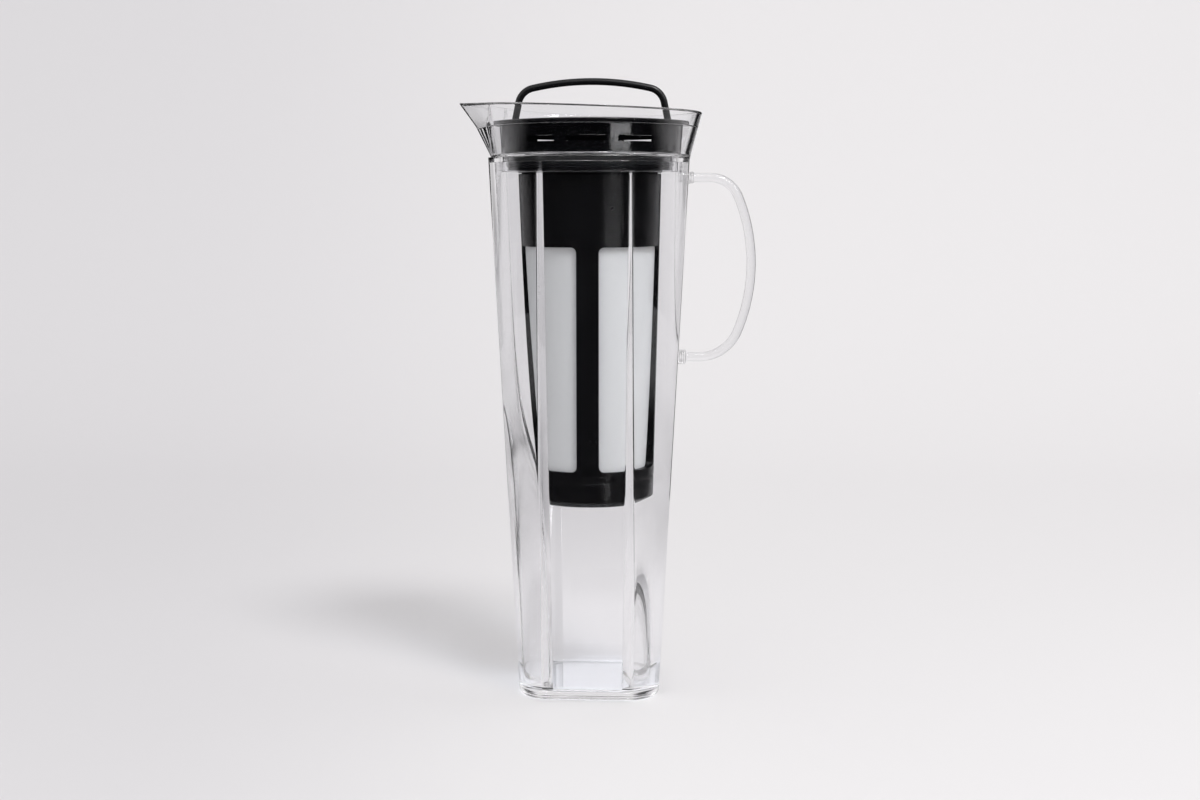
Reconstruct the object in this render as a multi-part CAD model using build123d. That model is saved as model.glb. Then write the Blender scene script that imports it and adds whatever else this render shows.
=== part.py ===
from build123d import *
import os
from math import asin, cos, pi, radians, sin, sqrt, tan

# All lengths are millimetres and all angles are degrees.
# The jug stands on its base at Z 0, its axis is Z, the handle is at +X and the spout at -X.

# Jug body: four flats joined by round corners, each corner meeting its flats at a soft crease
JUG_HEIGHT = 264.4
FLAT_AT_FOOT = 34.45
FLAT_BEHIND_NECK = 0.18
WALL = 2.3
FLOOR = 4.0
FLAT_HALF = 21.5
FLAT_HALF_INSIDE_AT_FOOT = 16.5
FLAT_HALF_INSIDE_AT_NECK = 20.0
CREASE_AT_FOOT = 14.0
CREASE_AT_NECK = 39.0
CREASE_INSIDE_AT_FOOT = 33.5
CREASE_INSIDE_AT_NECK = 27.8
CREASE_RADIUS = 4.5
CREASE_RADIUS_INSIDE = 0.9
FOOT_ROUNDING = 3.5
FLOOR_ROUNDING = 3.0
SHOULDER_DROP = 1.5

# Pouring collar: a round flared rim with a spout, plugged and welded into the neck
COLLAR_FLARE = 14.8
COLLAR_WALL = 2.5
COLLAR_LOW_WALL = 2.9
COLLAR_STEP_RISE = 15.3
COLLAR_LEDGE = 1.8
COLLAR_FLOOR_WIDTH = 5.4
COLLAR_HEIGHT_AT_HANDLE = 22.1
PLUG_SKIRT_WALL = 2.0
PLUG_SKIRT_DEPTH = 7.4
PLUG_SKIRT_CLEARANCE = 0.3
RIM_CURVE_RADIUS = 1476.0
SPOUT_ANGLE_LOW = 10.0
SPOUT_ANGLE_RIM = 28.2
SPOUT_TIP_RADIUS = 3.0
SPOUT_TIP_RADIUS_INSIDE = 1.2
RIM_TRIM = 7.35

# Handle: a clear rod in a D loop, with a ringed boss where each arm meets the wall
ROD_DIAMETER = 4.5
UPPER_ARM_BELOW_NECK = 9.5
ARM_SPREAD = 88.4
UPPER_ARM_LENGTH = 10.5
UPPER_BEND_RADIUS = 15.0
LOWER_BEND_RADIUS = 20.5
UPPER_BEND_TURN = 67.5
LOWER_BEND_TURN = 67.5
UPPER_BOSS_DIAMETER = 6.0
UPPER_BOSS_LENGTH = 2.4
UPPER_BOSS_RINGS = 3
LOWER_BOSS_DIAMETER = 7.4
LOWER_BOSS_LENGTH = 3.6
LOWER_BOSS_RINGS = 4
RING_GROOVE = 0.5

# Lid: a drum with pouring slots, a plug with a lipped gasket, and a domed cap
LEDGE_LAP = 0.7
DRUM_DRAFT = 1.0
DRUM_HEIGHT = 13.5
DRUM_WALL = 2.2
DRUM_FLOOR = 2.0
POUR_CHANNEL = 4.7
PLUG_WALL = 2.0
PLUG_DEPTH = 8.6
PLUG_LIP = 0.9
PLUG_LIP_HEIGHT = 1.2
SOCKET_LEDGE = 1.4
SOCKET_LEDGE_HEIGHT = 1.0
SLOT_LOW = 5.3
SLOT_HEIGHT = 2.7
SLOT_SPAN = 24.8
SLOT_PITCH = 32.0
SLOTS_PER_SIDE = 3
STOP_RIB_ANGLES = (56.1, 65.5)
STOP_RIB_WIDTH = 1.4
STOP_RIB_LOW = 1.3
STOP_RIB_HEIGHT = 3.0
STOP_RIB_PROUD = 0.8
CAP_OVERHANG = 3.0
CAP_EDGE = 1.9
CAP_CROWN = 4.2
CAP_EDGE_CHAMFER = 0.4
CAP_THICKNESS = 2.0
CAP_SPIGOT_DEPTH = 2.7
CAP_SPIGOT_WALL = 1.6
CAP_SPIGOT_CLEARANCE = 0.2

# Gasket of the lid: a sleeve with two thin lips
GASKET_CLEARANCE = 0.3
GASKET_WALL = 0.7
GASKET_LIP_REACH = (0.9, 0.5)
GASKET_LIP_RISE = (1.5, 3.9)
GASKET_LIP_THICKNESS = 0.9
GASKET_LIP_CLEARANCE = 0.4

# Bail on the lid: a bent rod with an eye at each foot that turns on a pin
BAIL_DIAMETER = 3.4
BAIL_INSET = 4.8
BAIL_RISE = 21.05
BAIL_ARCH_RADIUS = 132.0
BAIL_SHOULDER_RADIUS = 9.0
BAIL_LEAN = 11.5
PIVOT_BELOW_CAP = 3.3
EYE_RADIUS = 2.3
EYE_WIDTH = 3.0
PIN_RADIUS = 1.2
PIN_SEAT_DEPTH = 1.3
PIN_RUNNING_CLEARANCE = 0.05
PIN_SEAT_CLEARANCE = 0.02
WELL_SIDE_CLEARANCE = 0.7
WELL_HALF_LENGTH = 9.8
WELL_DEPTH_BELOW_EYE = 0.5
BOSS_FLOOR = 1.2
BOSS_END = 1.4

# Socket in the lid that holds the filter by its neck
SOCKET_WALL = 2.5
SOCKET_CLEARANCE = 0.3
SOCKET_PLATE = 2.0
SOCKET_DROP = 1.0
SOCKET_RISE = 9.9
SOCKET_ROOF = 2.0
SOCKET_RIM_CLEARANCE = 0.1
POUR_SLOTS = 12
POUR_SLOT_SPAN = 22.0
POUR_SLOT_MARGIN = 0.9
SEAL_GROOVE_RISE = 3.4
SEAL_HEIGHT = 2.0
SEAL_WALL = 1.0
SEAL_CLEARANCE = 0.3

# Filter: a tapered frame with four long windows, lined by a mesh sleeve and closed by a cap
FILTER_TOP_RADIUS = 33.85
FILTER_TAPER = 0.0157
FILTER_TOP_GAP = 0.4
FILTER_LENGTH = 161.1
FILTER_WALL = 2.1
NECK_STEP = 2.35
NECK_WALL = 2.0
NECK_HEIGHT = 11.8
NECK_BLEND = 2.0
WINDOW_BELOW_TOP = 35.0
FOOT_BAND = 4.8
CAP_HEIGHT = 12.5
RIB_WIDTH = 10.75
WINDOW_CORNER = 2.75
WINDOWS = 4
MESH_THICKNESS = 0.4
MESH_OVERLAP = 3.0
CAP_GAP = 0.3
CAP_WALL = 2.0
CAP_BOTTOM_CHAMFER = 2.3
CAP_SKIRT_RISE = 6.0
CAP_SKIRT_WALL = 1.5
CAP_SKIRT_CLEARANCE = 0.35

# Radii that follow from the filter's neck outwards
NECK_SLIDE_RADIUS = FILTER_TOP_RADIUS - NECK_STEP
SOCKET_BORE_RADIUS = NECK_SLIDE_RADIUS + SOCKET_CLEARANCE
SOCKET_RADIUS = SOCKET_BORE_RADIUS + SOCKET_WALL
PLUG_INSIDE_RADIUS = SOCKET_RADIUS + POUR_CHANNEL
PLUG_RADIUS = PLUG_INSIDE_RADIUS + PLUG_WALL
GASKET_RADIUS = PLUG_RADIUS + GASKET_CLEARANCE + GASKET_WALL
COLLAR_BORE_RADIUS = GASKET_RADIUS + GASKET_LIP_REACH[0] + GASKET_LIP_CLEARANCE
DRUM_RADIUS_LOW = COLLAR_BORE_RADIUS + LEDGE_LAP
DRUM_RADIUS_TOP = DRUM_RADIUS_LOW + DRUM_DRAFT
CAP_RADIUS = DRUM_RADIUS_TOP + CAP_OVERHANG
BAIL_HALF_SPAN = DRUM_RADIUS_TOP - DRUM_WALL - BAIL_INSET
WELL_LEAN_ROOM = WELL_HALF_LENGTH * sin(radians(BAIL_LEAN)) / 2
WELL_WIDTH = BAIL_DIAMETER + 2 * WELL_SIDE_CLEARANCE + WELL_LEAN_ROOM
WELL_X = BAIL_HALF_SPAN - WELL_LEAN_ROOM / 2
PIN_LENGTH = WELL_WIDTH + 2 * PIN_SEAT_DEPTH
NECK_RADIUS = COLLAR_BORE_RADIUS + COLLAR_FLOOR_WIDTH
FLAT_TAPER = (NECK_RADIUS - FLAT_BEHIND_NECK - FLAT_AT_FOOT) / JUG_HEIGHT

# Heights that follow from the jug's height
COLLAR_BASE_Z = JUG_HEIGHT
LEDGE_Z = COLLAR_BASE_Z + COLLAR_LEDGE
DRUM_TOP_Z = LEDGE_Z + DRUM_HEIGHT
PLUG_BOTTOM_Z = LEDGE_Z - PLUG_DEPTH
SOCKET_SEAT_Z = PLUG_BOTTOM_Z + SOCKET_LEDGE_HEIGHT
SOCKET_LOW_Z = SOCKET_SEAT_Z - SOCKET_DROP - SOCKET_LEDGE_HEIGHT
PIVOT_Z = DRUM_TOP_Z + CAP_CROWN - PIVOT_BELOW_CAP
BAIL_TOP_Z = PIVOT_Z + BAIL_RISE
RIM_AT_HANDLE = COLLAR_BASE_Z + COLLAR_HEIGHT_AT_HANDLE
UPPER_ARM_Z = JUG_HEIGHT - UPPER_ARM_BELOW_NECK
LOWER_ARM_Z = UPPER_ARM_Z - ARM_SPREAD
FILTER_TOP_Z = SOCKET_LOW_Z - FILTER_TOP_GAP
FILTER_BOTTOM_Z = FILTER_TOP_Z - FILTER_LENGTH
FILTER_PARTING_Z = FILTER_BOTTOM_Z + CAP_HEIGHT
WINDOW_TOP = FILTER_TOP_Z - WINDOW_BELOW_TOP
WINDOW_LOW = FILTER_PARTING_Z + FOOT_BAND

# Steps that round the jug's foot
FOOT_STEPS = 4


def flat_distance(z):
    """Distance from the axis to the outside of a flat at height z."""
    return FLAT_AT_FOOT + FLAT_TAPER * z


def between(at_foot, at_neck, z):
    """A size that changes evenly from the jug's foot to its neck."""
    return at_foot + (at_neck - at_foot) * z / JUG_HEIGHT


def outside_shape(z, inset=0.0):
    """Flat distance, half-length, crease and bend radius of the jug's outside at height z."""
    crease = between(CREASE_AT_FOOT, CREASE_AT_NECK, z)
    return (flat_distance(z) - inset, FLAT_HALF, crease, CREASE_RADIUS)


def inside_shape(z, inset=0.0):
    """The same for the jug's inside."""
    half = between(FLAT_HALF_INSIDE_AT_FOOT, FLAT_HALF_INSIDE_AT_NECK, z)
    crease = between(CREASE_INSIDE_AT_FOOT, CREASE_INSIDE_AT_NECK, z)
    return (flat_distance(z) - WALL - inset, half, crease, CREASE_RADIUS_INSIDE)


def arc_point(start, radius, from_turn, to_turn):
    """End of an arc that starts at a point and turns left from one heading to another."""
    x = start[0] + radius * (sin(to_turn) - sin(from_turn))
    y = start[1] + radius * (cos(from_turn) - cos(to_turn))
    return (x, y)


def quarter_points(flat, half, crease, bend):
    """Line end and three arcs, each as middle and end, of one quarter of the jug's outline."""
    turn = radians(crease)
    corner = (flat - half - bend * (sin(turn) + 1 - cos(turn))) / (cos(turn) - sin(turn))
    arcs = ((bend, 0, turn), (corner, turn, pi / 2 - turn), (bend, pi / 2 - turn, pi / 2))
    points = [(half, -flat)]
    for radius, first, last in arcs:
        start = points[-1]
        points.append(arc_point(start, radius, first, (first + last) / 2))
        points.append(arc_point(start, radius, first, last))
    return points


def turned(point, z, quarter):
    """A plan point as a 3-D point, turned by a number of quarter turns."""
    c = (1, 0, -1, 0)[quarter]
    s = (0, 1, 0, -1)[quarter]
    return Vector(point[0] * c - point[1] * s, point[0] * s + point[1] * c, z)


def squared_outline(flat, half, crease, bend, z):
    """Face of the jug's plan shape at one height."""
    points = quarter_points(flat, half, crease, bend)
    edges = []
    for quarter in range(4):
        corners = [turned(p, z, quarter) for p in points]
        edges.append(Line(turned((-half, -flat), z, quarter), corners[0]))
        for i in (0, 2, 4):
            edges.append(ThreePointArc(corners[i], corners[i + 1], corners[i + 2]))
    return Face(Wire(edges))


def round_outline(radius, flat, half, crease, bend, z):
    """Circle split where the jug's plan shape has its corners, so that the two can be joined."""
    points = quarter_points(flat, half, crease, bend)

    def on_circle(point, quarter):
        length = sqrt(point[0] ** 2 + point[1] ** 2)
        return turned((point[0] * radius / length, point[1] * radius / length), z, quarter)

    edges = []
    for quarter in range(4):
        ring = [on_circle(p, quarter) for p in points]
        flat_start = on_circle((-half, -flat), quarter)
        flat_middle = on_circle((0, -flat), quarter)
        edges.append(ThreePointArc(flat_start, flat_middle, ring[0]))
        for i in (0, 2, 4):
            edges.append(ThreePointArc(ring[i], ring[i + 1], ring[i + 2]))
    return Face(Wire(edges))


def body_levels(bottom, rounding, neck_z):
    """Heights and insets of the jug's outline, from the rounded foot to the shoulder under its neck."""
    levels = []
    for step in range(FOOT_STEPS):
        rise = rounding * (1 - cos(pi / 2 * step / FOOT_STEPS))
        inset = rounding * (1 - sin(pi / 2 * step / FOOT_STEPS))
        levels.append((bottom + rise, inset))
    levels.append((bottom + rounding, 0.0))
    shoulder = neck_z - SHOULDER_DROP
    for share in (1 / 3, 2 / 3, 1):
        levels.append((bottom + rounding + (shoulder - bottom - rounding) * share, 0.0))
    return levels


def make_jug_body():
    """Open jug with a thick floor, closed in to a round neck at the top."""
    outside_levels = body_levels(0.0, FOOT_ROUNDING, JUG_HEIGHT)
    outside = [squared_outline(*outside_shape(z, inset), z) for z, inset in outside_levels]
    outside.append(round_outline(NECK_RADIUS, *outside_shape(JUG_HEIGHT), JUG_HEIGHT))

    rim_z = JUG_HEIGHT - WALL
    inside_levels = body_levels(FLOOR, FLOOR_ROUNDING, rim_z)
    inside = [squared_outline(*inside_shape(z, inset), z) for z, inset in inside_levels]
    bore = COLLAR_BORE_RADIUS + PLUG_SKIRT_WALL + PLUG_SKIRT_CLEARANCE
    inside.append(round_outline(bore, *inside_shape(rim_z), rim_z))
    cavity = loft(inside, ruled=True)
    cavity += Pos(0, 0, rim_z) * cylinder_up(bore, WALL)
    return loft(outside, ruled=True) - cavity


def cylinder_up(radius, height):
    """Cylinder that stands on the XY plane."""
    return Cylinder(radius, height, align=(Align.CENTER, Align.CENTER, Align.MIN))


def ring_up(outer, inner, height):
    """Plain ring that stands on the XY plane."""
    return cylinder_up(outer, height) - cylinder_up(inner, height)


def turned_solid(points):
    """Solid of revolution about Z from a closed outline of radius and height."""
    outline = Polyline([(r, 0, z) for r, z in points], close=True)
    return revolve(make_face(outline.edges()), axis=Axis.Z)


def collar_radius(z):
    """Outside radius of the collar at height z."""
    return NECK_RADIUS + tan(radians(COLLAR_FLARE)) * (z - COLLAR_BASE_Z)


def spout_angle(z):
    """Half-angle of the spout's tangent points at height z."""
    rise = (z - COLLAR_BASE_Z) / (RIM_AT_HANDLE - COLLAR_BASE_Z)
    return SPOUT_ANGLE_LOW + (SPOUT_ANGLE_RIM - SPOUT_ANGLE_LOW) * rise


def spout_outline(radius, angle, tip, z):
    """Circle drawn out to a rounded tip at -X by two tangent lines."""
    c = cos(radians(angle))
    s = sin(radians(angle))
    centre = (radius - tip) / c
    shoulder = Vector(-radius * c, radius * s, z)
    tip_side = Vector(-centre - tip * c, tip * s, z)
    quarter = radius * sqrt(0.5)
    half_way = radians((90 + angle) / 2)
    far = (-radius * sin(half_way - radians(angle)), radius * cos(half_way - radians(angle)))

    def mirrored(p):
        return Vector(p.X, -p.Y, p.Z)

    edges = [
        Line(shoulder, tip_side),
        ThreePointArc(tip_side, Vector(-centre - tip, 0, z), mirrored(tip_side)),
        Line(mirrored(tip_side), mirrored(shoulder)),
        ThreePointArc(mirrored(shoulder), Vector(far[0], -far[1], z), Vector(0, -radius, z)),
        ThreePointArc(Vector(0, -radius, z), Vector(quarter, -quarter, z), Vector(radius, 0, z)),
        ThreePointArc(Vector(radius, 0, z), Vector(quarter, quarter, z), Vector(0, radius, z)),
        ThreePointArc(Vector(0, radius, z), Vector(far[0], far[1], z), shoulder),
    ]
    return Face(Wire(edges))


def spout_loft(low, high, wall, tip):
    """Flared solid of the collar's plan shape between two heights, inset by a wall."""
    sections = [spout_outline(collar_radius(z) - wall, spout_angle(z), tip, z) for z in (low, high)]
    return loft(sections, ruled=True)


def above_rim():
    """Everything above the collar's gently curved rim, which is lowest at the handle."""
    reach = 2 * NECK_RADIUS
    handle_x = collar_radius(RIM_AT_HANDLE)

    def rim(x):
        drop = sqrt(RIM_CURVE_RADIUS ** 2 - (x - handle_x) ** 2)
        return Vector(x, 0, RIM_AT_HANDLE + RIM_CURVE_RADIUS - drop)

    left = rim(-reach)
    right = rim(reach)
    top = Vector(0, 0, 3 * RIM_TRIM)
    edges = [
        ThreePointArc(left, rim(0), right),
        Line(right, right + top),
        Line(right + top, left + top),
        Line(left + top, left),
    ]
    return extrude(Face(Wire(edges)), amount=reach, both=True)


def make_pour_collar():
    """Flared clear rim with its spout, the ledge that carries the lid and the plug below it."""
    step_z = COLLAR_BASE_Z + COLLAR_STEP_RISE
    top_z = RIM_AT_HANDLE + RIM_TRIM
    collar = spout_loft(COLLAR_BASE_Z, top_z, 0.0, SPOUT_TIP_RADIUS)
    collar -= spout_loft(LEDGE_Z, step_z, COLLAR_LOW_WALL, SPOUT_TIP_RADIUS_INSIDE)
    collar -= spout_loft(step_z, top_z, COLLAR_WALL, SPOUT_TIP_RADIUS_INSIDE)
    collar -= Pos(0, 0, COLLAR_BASE_Z) * cylinder_up(COLLAR_BORE_RADIUS, COLLAR_LEDGE)
    collar -= above_rim()
    skirt = ring_up(COLLAR_BORE_RADIUS + PLUG_SKIRT_WALL, COLLAR_BORE_RADIUS, PLUG_SKIRT_DEPTH)
    return collar + Pos(0, 0, COLLAR_BASE_Z - PLUG_SKIRT_DEPTH) * skirt


def outside_of_wall():
    """Space beyond the flat that carries the handle, to trim what meets the wall."""
    top = 2 * JUG_HEIGHT
    points = [(flat_distance(0), 0, 0), (flat_distance(top), 0, top), (top, 0, top), (top, 0, 0)]
    return extrude(make_face(Polyline(points, close=True).edges()), amount=FLAT_HALF, both=True)


def handle_path():
    """Centre line of the handle: two straight arms and three tangent arcs."""
    first = radians(UPPER_BEND_TURN)
    last = radians(LOWER_BEND_TURN)
    bends = UPPER_BEND_RADIUS * (1 - cos(first)) + LOWER_BEND_RADIUS * (1 - cos(last))
    bow = (ARM_SPREAD - bends) / (cos(first) + cos(last))
    z = UPPER_ARM_Z
    x = flat_distance(z) + UPPER_ARM_LENGTH
    inner_end = FLAT_AT_FOOT
    edges = [Line((inner_end, 0, z), (x, 0, z))]
    heading = 0.0
    for radius, turn in ((UPPER_BEND_RADIUS, first), (bow, pi - first - last), (LOWER_BEND_RADIUS, last)):
        points = []
        for angle in (heading, heading + turn / 2, heading + turn):
            along = radius * (sin(angle) - sin(heading))
            down = radius * (cos(heading) - cos(angle))
            points.append((x + along, 0, z - down))
        edges.append(ThreePointArc(*points))
        x = points[2][0]
        z = points[2][2]
        heading += turn
    edges.append(Line((x, 0, z), (inner_end, 0, z)))
    return Wire(edges)


def make_handle_rod():
    """Clear rod of the handle, cut where its arms meet the wall."""
    start = Plane(origin=(FLAT_AT_FOOT, 0, UPPER_ARM_Z), z_dir=(1, 0, 0))
    rod = sweep(start * Circle(ROD_DIAMETER / 2), path=handle_path())
    return rod & outside_of_wall()


def make_boss(arm_z, diameter, length, rings):
    """Ringed boss round an arm of the handle, seated on the wall."""
    pitch = length / rings
    outline = [(ROD_DIAMETER / 2, -diameter)]
    outline.append((diameter / 2, -diameter))
    for ring in range(rings):
        start = ring * pitch
        outline.append((diameter / 2, start + pitch - RING_GROOVE))
        if ring < rings - 1:
            outline.append((diameter / 2 - RING_GROOVE, start + pitch - RING_GROOVE))
            outline.append((diameter / 2 - RING_GROOVE, start + pitch))
            outline.append((diameter / 2, start + pitch))
    outline.append((ROD_DIAMETER / 2 + RING_GROOVE, length))
    outline.append((ROD_DIAMETER / 2, length))
    boss = turned_solid(outline)
    return Pos(flat_distance(arm_z), 0, arm_z) * Rot(0, 90, 0) * boss & outside_of_wall()


def sector(outer, inner, height, centre_angle, span):
    """Part of a ring that stands on the XY plane, centred on an angle from the front."""
    corners = [(inner, 0, 0), (outer, 0, 0), (outer, 0, height), (inner, 0, height)]
    profile = make_face(Polyline(corners, close=True).edges())
    return Rot(0, 0, centre_angle - 90 - span / 2) * revolve(profile, axis=Axis.Z, revolution_arc=span)


def drum_inside_radius(z):
    """Inside radius of the drum's skirt at height z."""
    share = (z - LEDGE_Z) / DRUM_HEIGHT
    return DRUM_RADIUS_LOW + (DRUM_RADIUS_TOP - DRUM_RADIUS_LOW) * share - DRUM_WALL


def make_lid_drum():
    """Skirt of the lid with its pouring slots, the step that sits on the ledge, and the plug wall."""
    floor_z = LEDGE_Z + DRUM_FLOOR
    plug_inside = PLUG_INSIDE_RADIUS
    lip_z = PLUG_BOTTOM_Z + PLUG_LIP_HEIGHT
    drum = turned_solid([
        (DRUM_RADIUS_LOW, LEDGE_Z),
        (DRUM_RADIUS_TOP, DRUM_TOP_Z),
        (drum_inside_radius(DRUM_TOP_Z), DRUM_TOP_Z),
        (drum_inside_radius(floor_z), floor_z),
        (plug_inside, floor_z),
        (plug_inside, SOCKET_SEAT_Z),
        (plug_inside - SOCKET_LEDGE, SOCKET_SEAT_Z),
        (plug_inside - SOCKET_LEDGE, PLUG_BOTTOM_Z),
        (PLUG_RADIUS + PLUG_LIP, PLUG_BOTTOM_Z),
        (PLUG_RADIUS + PLUG_LIP, lip_z),
        (PLUG_RADIUS, lip_z),
        (PLUG_RADIUS, LEDGE_Z),
    ])
    slot_outside = DRUM_RADIUS_TOP + DRUM_WALL
    slot_inside = DRUM_RADIUS_LOW - 2 * DRUM_WALL
    rib_align = (Align.MAX, Align.CENTER, Align.MIN)
    rib = Box(DRUM_WALL + STOP_RIB_PROUD, STOP_RIB_WIDTH, STOP_RIB_HEIGHT, align=rib_align)
    rib = Pos(DRUM_RADIUS_LOW + STOP_RIB_PROUD, 0, LEDGE_Z + STOP_RIB_LOW) * rib
    for side in (0, 180):
        for number in range(SLOTS_PER_SIDE):
            angle = side + (number - (SLOTS_PER_SIDE - 1) / 2) * SLOT_PITCH
            slot = sector(slot_outside, slot_inside, SLOT_HEIGHT, angle, SLOT_SPAN)
            drum -= Pos(0, 0, LEDGE_Z + SLOT_LOW) * slot
        for angle in STOP_RIB_ANGLES:
            drum += Rot(0, 0, side + angle - 90) * rib
    return drum


def make_bail_well(well_top, boss_top):
    """Block under the cap at +X and the well in it, wider inwards because the bail leans that way."""
    length = 2 * WELL_HALF_LENGTH
    low = PIVOT_Z - EYE_RADIUS - WELL_DEPTH_BELOW_EYE
    boss_low = low - BOSS_FLOOR
    upright = (Align.CENTER, Align.CENTER, Align.MIN)
    boss = Box(WELL_WIDTH + 2 * BOSS_END, length + 2 * BOSS_END, boss_top - boss_low, align=upright)
    well = Box(WELL_WIDTH, length, well_top - low, align=upright)
    return Pos(WELL_X, 0, boss_low) * boss, Pos(WELL_X, 0, low) * well


def make_lid_cap():
    """Domed cap with a spigot that seats in the drum, and a well on each side for the bail."""
    top_z = DRUM_TOP_Z + CAP_CROWN
    edge_top = DRUM_TOP_Z + CAP_EDGE + CAP_EDGE_CHAMFER
    spigot = drum_inside_radius(DRUM_TOP_Z - CAP_SPIGOT_DEPTH) - CAP_SPIGOT_CLEARANCE
    spigot_inside = spigot - CAP_SPIGOT_WALL
    edge = CAP_RADIUS - CAP_EDGE_CHAMFER
    dome_drop = top_z - edge_top
    dome_radius = (edge ** 2 + dome_drop ** 2) / (2 * dome_drop)
    spigot_low = DRUM_TOP_Z - CAP_SPIGOT_DEPTH
    cap = turned_solid([
        (0, spigot_low),
        (spigot, spigot_low),
        (spigot, DRUM_TOP_Z),
        (CAP_RADIUS, DRUM_TOP_Z),
        (CAP_RADIUS, edge_top - CAP_EDGE_CHAMFER),
        (edge, edge_top),
        (edge, top_z),
        (0, top_z),
    ])
    cap = cap & Pos(0, 0, top_z - dome_radius) * Sphere(dome_radius)
    hollow = Pos(0, 0, spigot_low) * cylinder_up(spigot_inside, top_z - spigot_low)
    cap -= hollow & Pos(0, 0, top_z - CAP_THICKNESS - dome_radius) * Sphere(dome_radius)

    boss, well = make_bail_well(top_z, edge_top - CAP_EDGE_CHAMFER)
    within = Pos(0, 0, LEDGE_Z) * cylinder_up(spigot - CAP_SPIGOT_WALL / 2, top_z - LEDGE_Z)
    pin_hole = Rot(0, 90, 0) * Cylinder(PIN_RADIUS + PIN_SEAT_CLEARANCE, PIN_LENGTH)
    pin_hole = Pos(WELL_X, 0, PIVOT_Z) * pin_hole
    for side in (0, 180):
        cap += Rot(0, 0, side) * (boss & within)
        cap -= Rot(0, 0, side) * well
        cap -= Rot(0, 0, side) * pin_hole
    return cap


def make_bail_handle():
    """Bent rod over the lid with an eye at each foot."""
    lean = radians(BAIL_LEAN)
    arch_centre = BAIL_TOP_Z - BAIL_ARCH_RADIUS
    inward = (-cos(lean), -sin(lean))
    upward = (-sin(lean), cos(lean))
    base = (BAIL_HALF_SPAN + BAIL_SHOULDER_RADIUS * inward[0],
            PIVOT_Z + BAIL_SHOULDER_RADIUS * inward[1] - arch_centre)
    gap = BAIL_ARCH_RADIUS - BAIL_SHOULDER_RADIUS
    along = base[0] * upward[0] + base[1] * upward[1]
    leg = -along + sqrt(along ** 2 - (base[0] ** 2 + base[1] ** 2 - gap ** 2))
    centre = (base[0] + leg * upward[0], base[1] + leg * upward[1])
    foot = (BAIL_HALF_SPAN, PIVOT_Z)
    shoulder_low = (BAIL_HALF_SPAN + leg * upward[0], PIVOT_Z + leg * upward[1])
    arch_angle = asin(centre[0] / gap)
    shoulder_top = (BAIL_ARCH_RADIUS * sin(arch_angle), arch_centre + BAIL_ARCH_RADIUS * cos(arch_angle))
    middle_angle = (arch_angle + pi / 2 - lean) / 2
    shoulder_middle = (centre[0] + BAIL_SHOULDER_RADIUS * sin(middle_angle),
                       arch_centre + centre[1] + BAIL_SHOULDER_RADIUS * cos(middle_angle))

    def right(p):
        return (p[0], 0, p[1])

    def left(p):
        return (-p[0], 0, p[1])

    path = Wire([
        Line(left(foot), left(shoulder_low)),
        ThreePointArc(left(shoulder_low), left(shoulder_middle), left(shoulder_top)),
        ThreePointArc(left(shoulder_top), (0, 0, BAIL_TOP_Z), right(shoulder_top)),
        ThreePointArc(right(shoulder_top), right(shoulder_middle), right(shoulder_low)),
        Line(right(shoulder_low), right(foot)),
    ])
    start = Plane(origin=left(foot), z_dir=(sin(lean), 0, cos(lean)))
    bail = sweep(start * Circle(BAIL_DIAMETER / 2), path=path)
    for side in (-1, 1):
        place = Pos(side * BAIL_HALF_SPAN, 0, PIVOT_Z) * Rot(0, 90, 0)
        bail += place * Cylinder(EYE_RADIUS, EYE_WIDTH)
        bail -= place * Cylinder(PIN_RADIUS + PIN_RUNNING_CLEARANCE, 4 * EYE_WIDTH)
    return bail


def make_bail_pivot_pins():
    """Two short pins, one through each eye."""
    pin = Rot(0, 90, 0) * Cylinder(PIN_RADIUS, PIN_LENGTH)
    pins = [Pos(side * WELL_X, 0, PIVOT_Z) * pin for side in (-1, 1)]
    return Compound(pins)


def make_lid_gasket():
    """Silicone sleeve round the plug with two lips that wipe the collar's bore."""
    inner = PLUG_RADIUS + GASKET_CLEARANCE
    outer = inner + GASKET_WALL
    low = PLUG_BOTTOM_Z + PLUG_LIP_HEIGHT + GASKET_CLEARANCE
    high = LEDGE_Z - GASKET_CLEARANCE
    outline = [(inner, low), (outer, low)]
    for reach, rise in zip(GASKET_LIP_REACH, GASKET_LIP_RISE):
        middle = low + rise
        outline.append((outer, middle - GASKET_LIP_THICKNESS / 2))
        outline.append((outer + reach, middle - GASKET_LIP_THICKNESS / 4))
        outline.append((outer + reach, middle + GASKET_LIP_THICKNESS / 4))
        outline.append((outer, middle + GASKET_LIP_THICKNESS / 2))
    outline += [(outer, high), (inner, high)]
    return turned_solid(outline)


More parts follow.
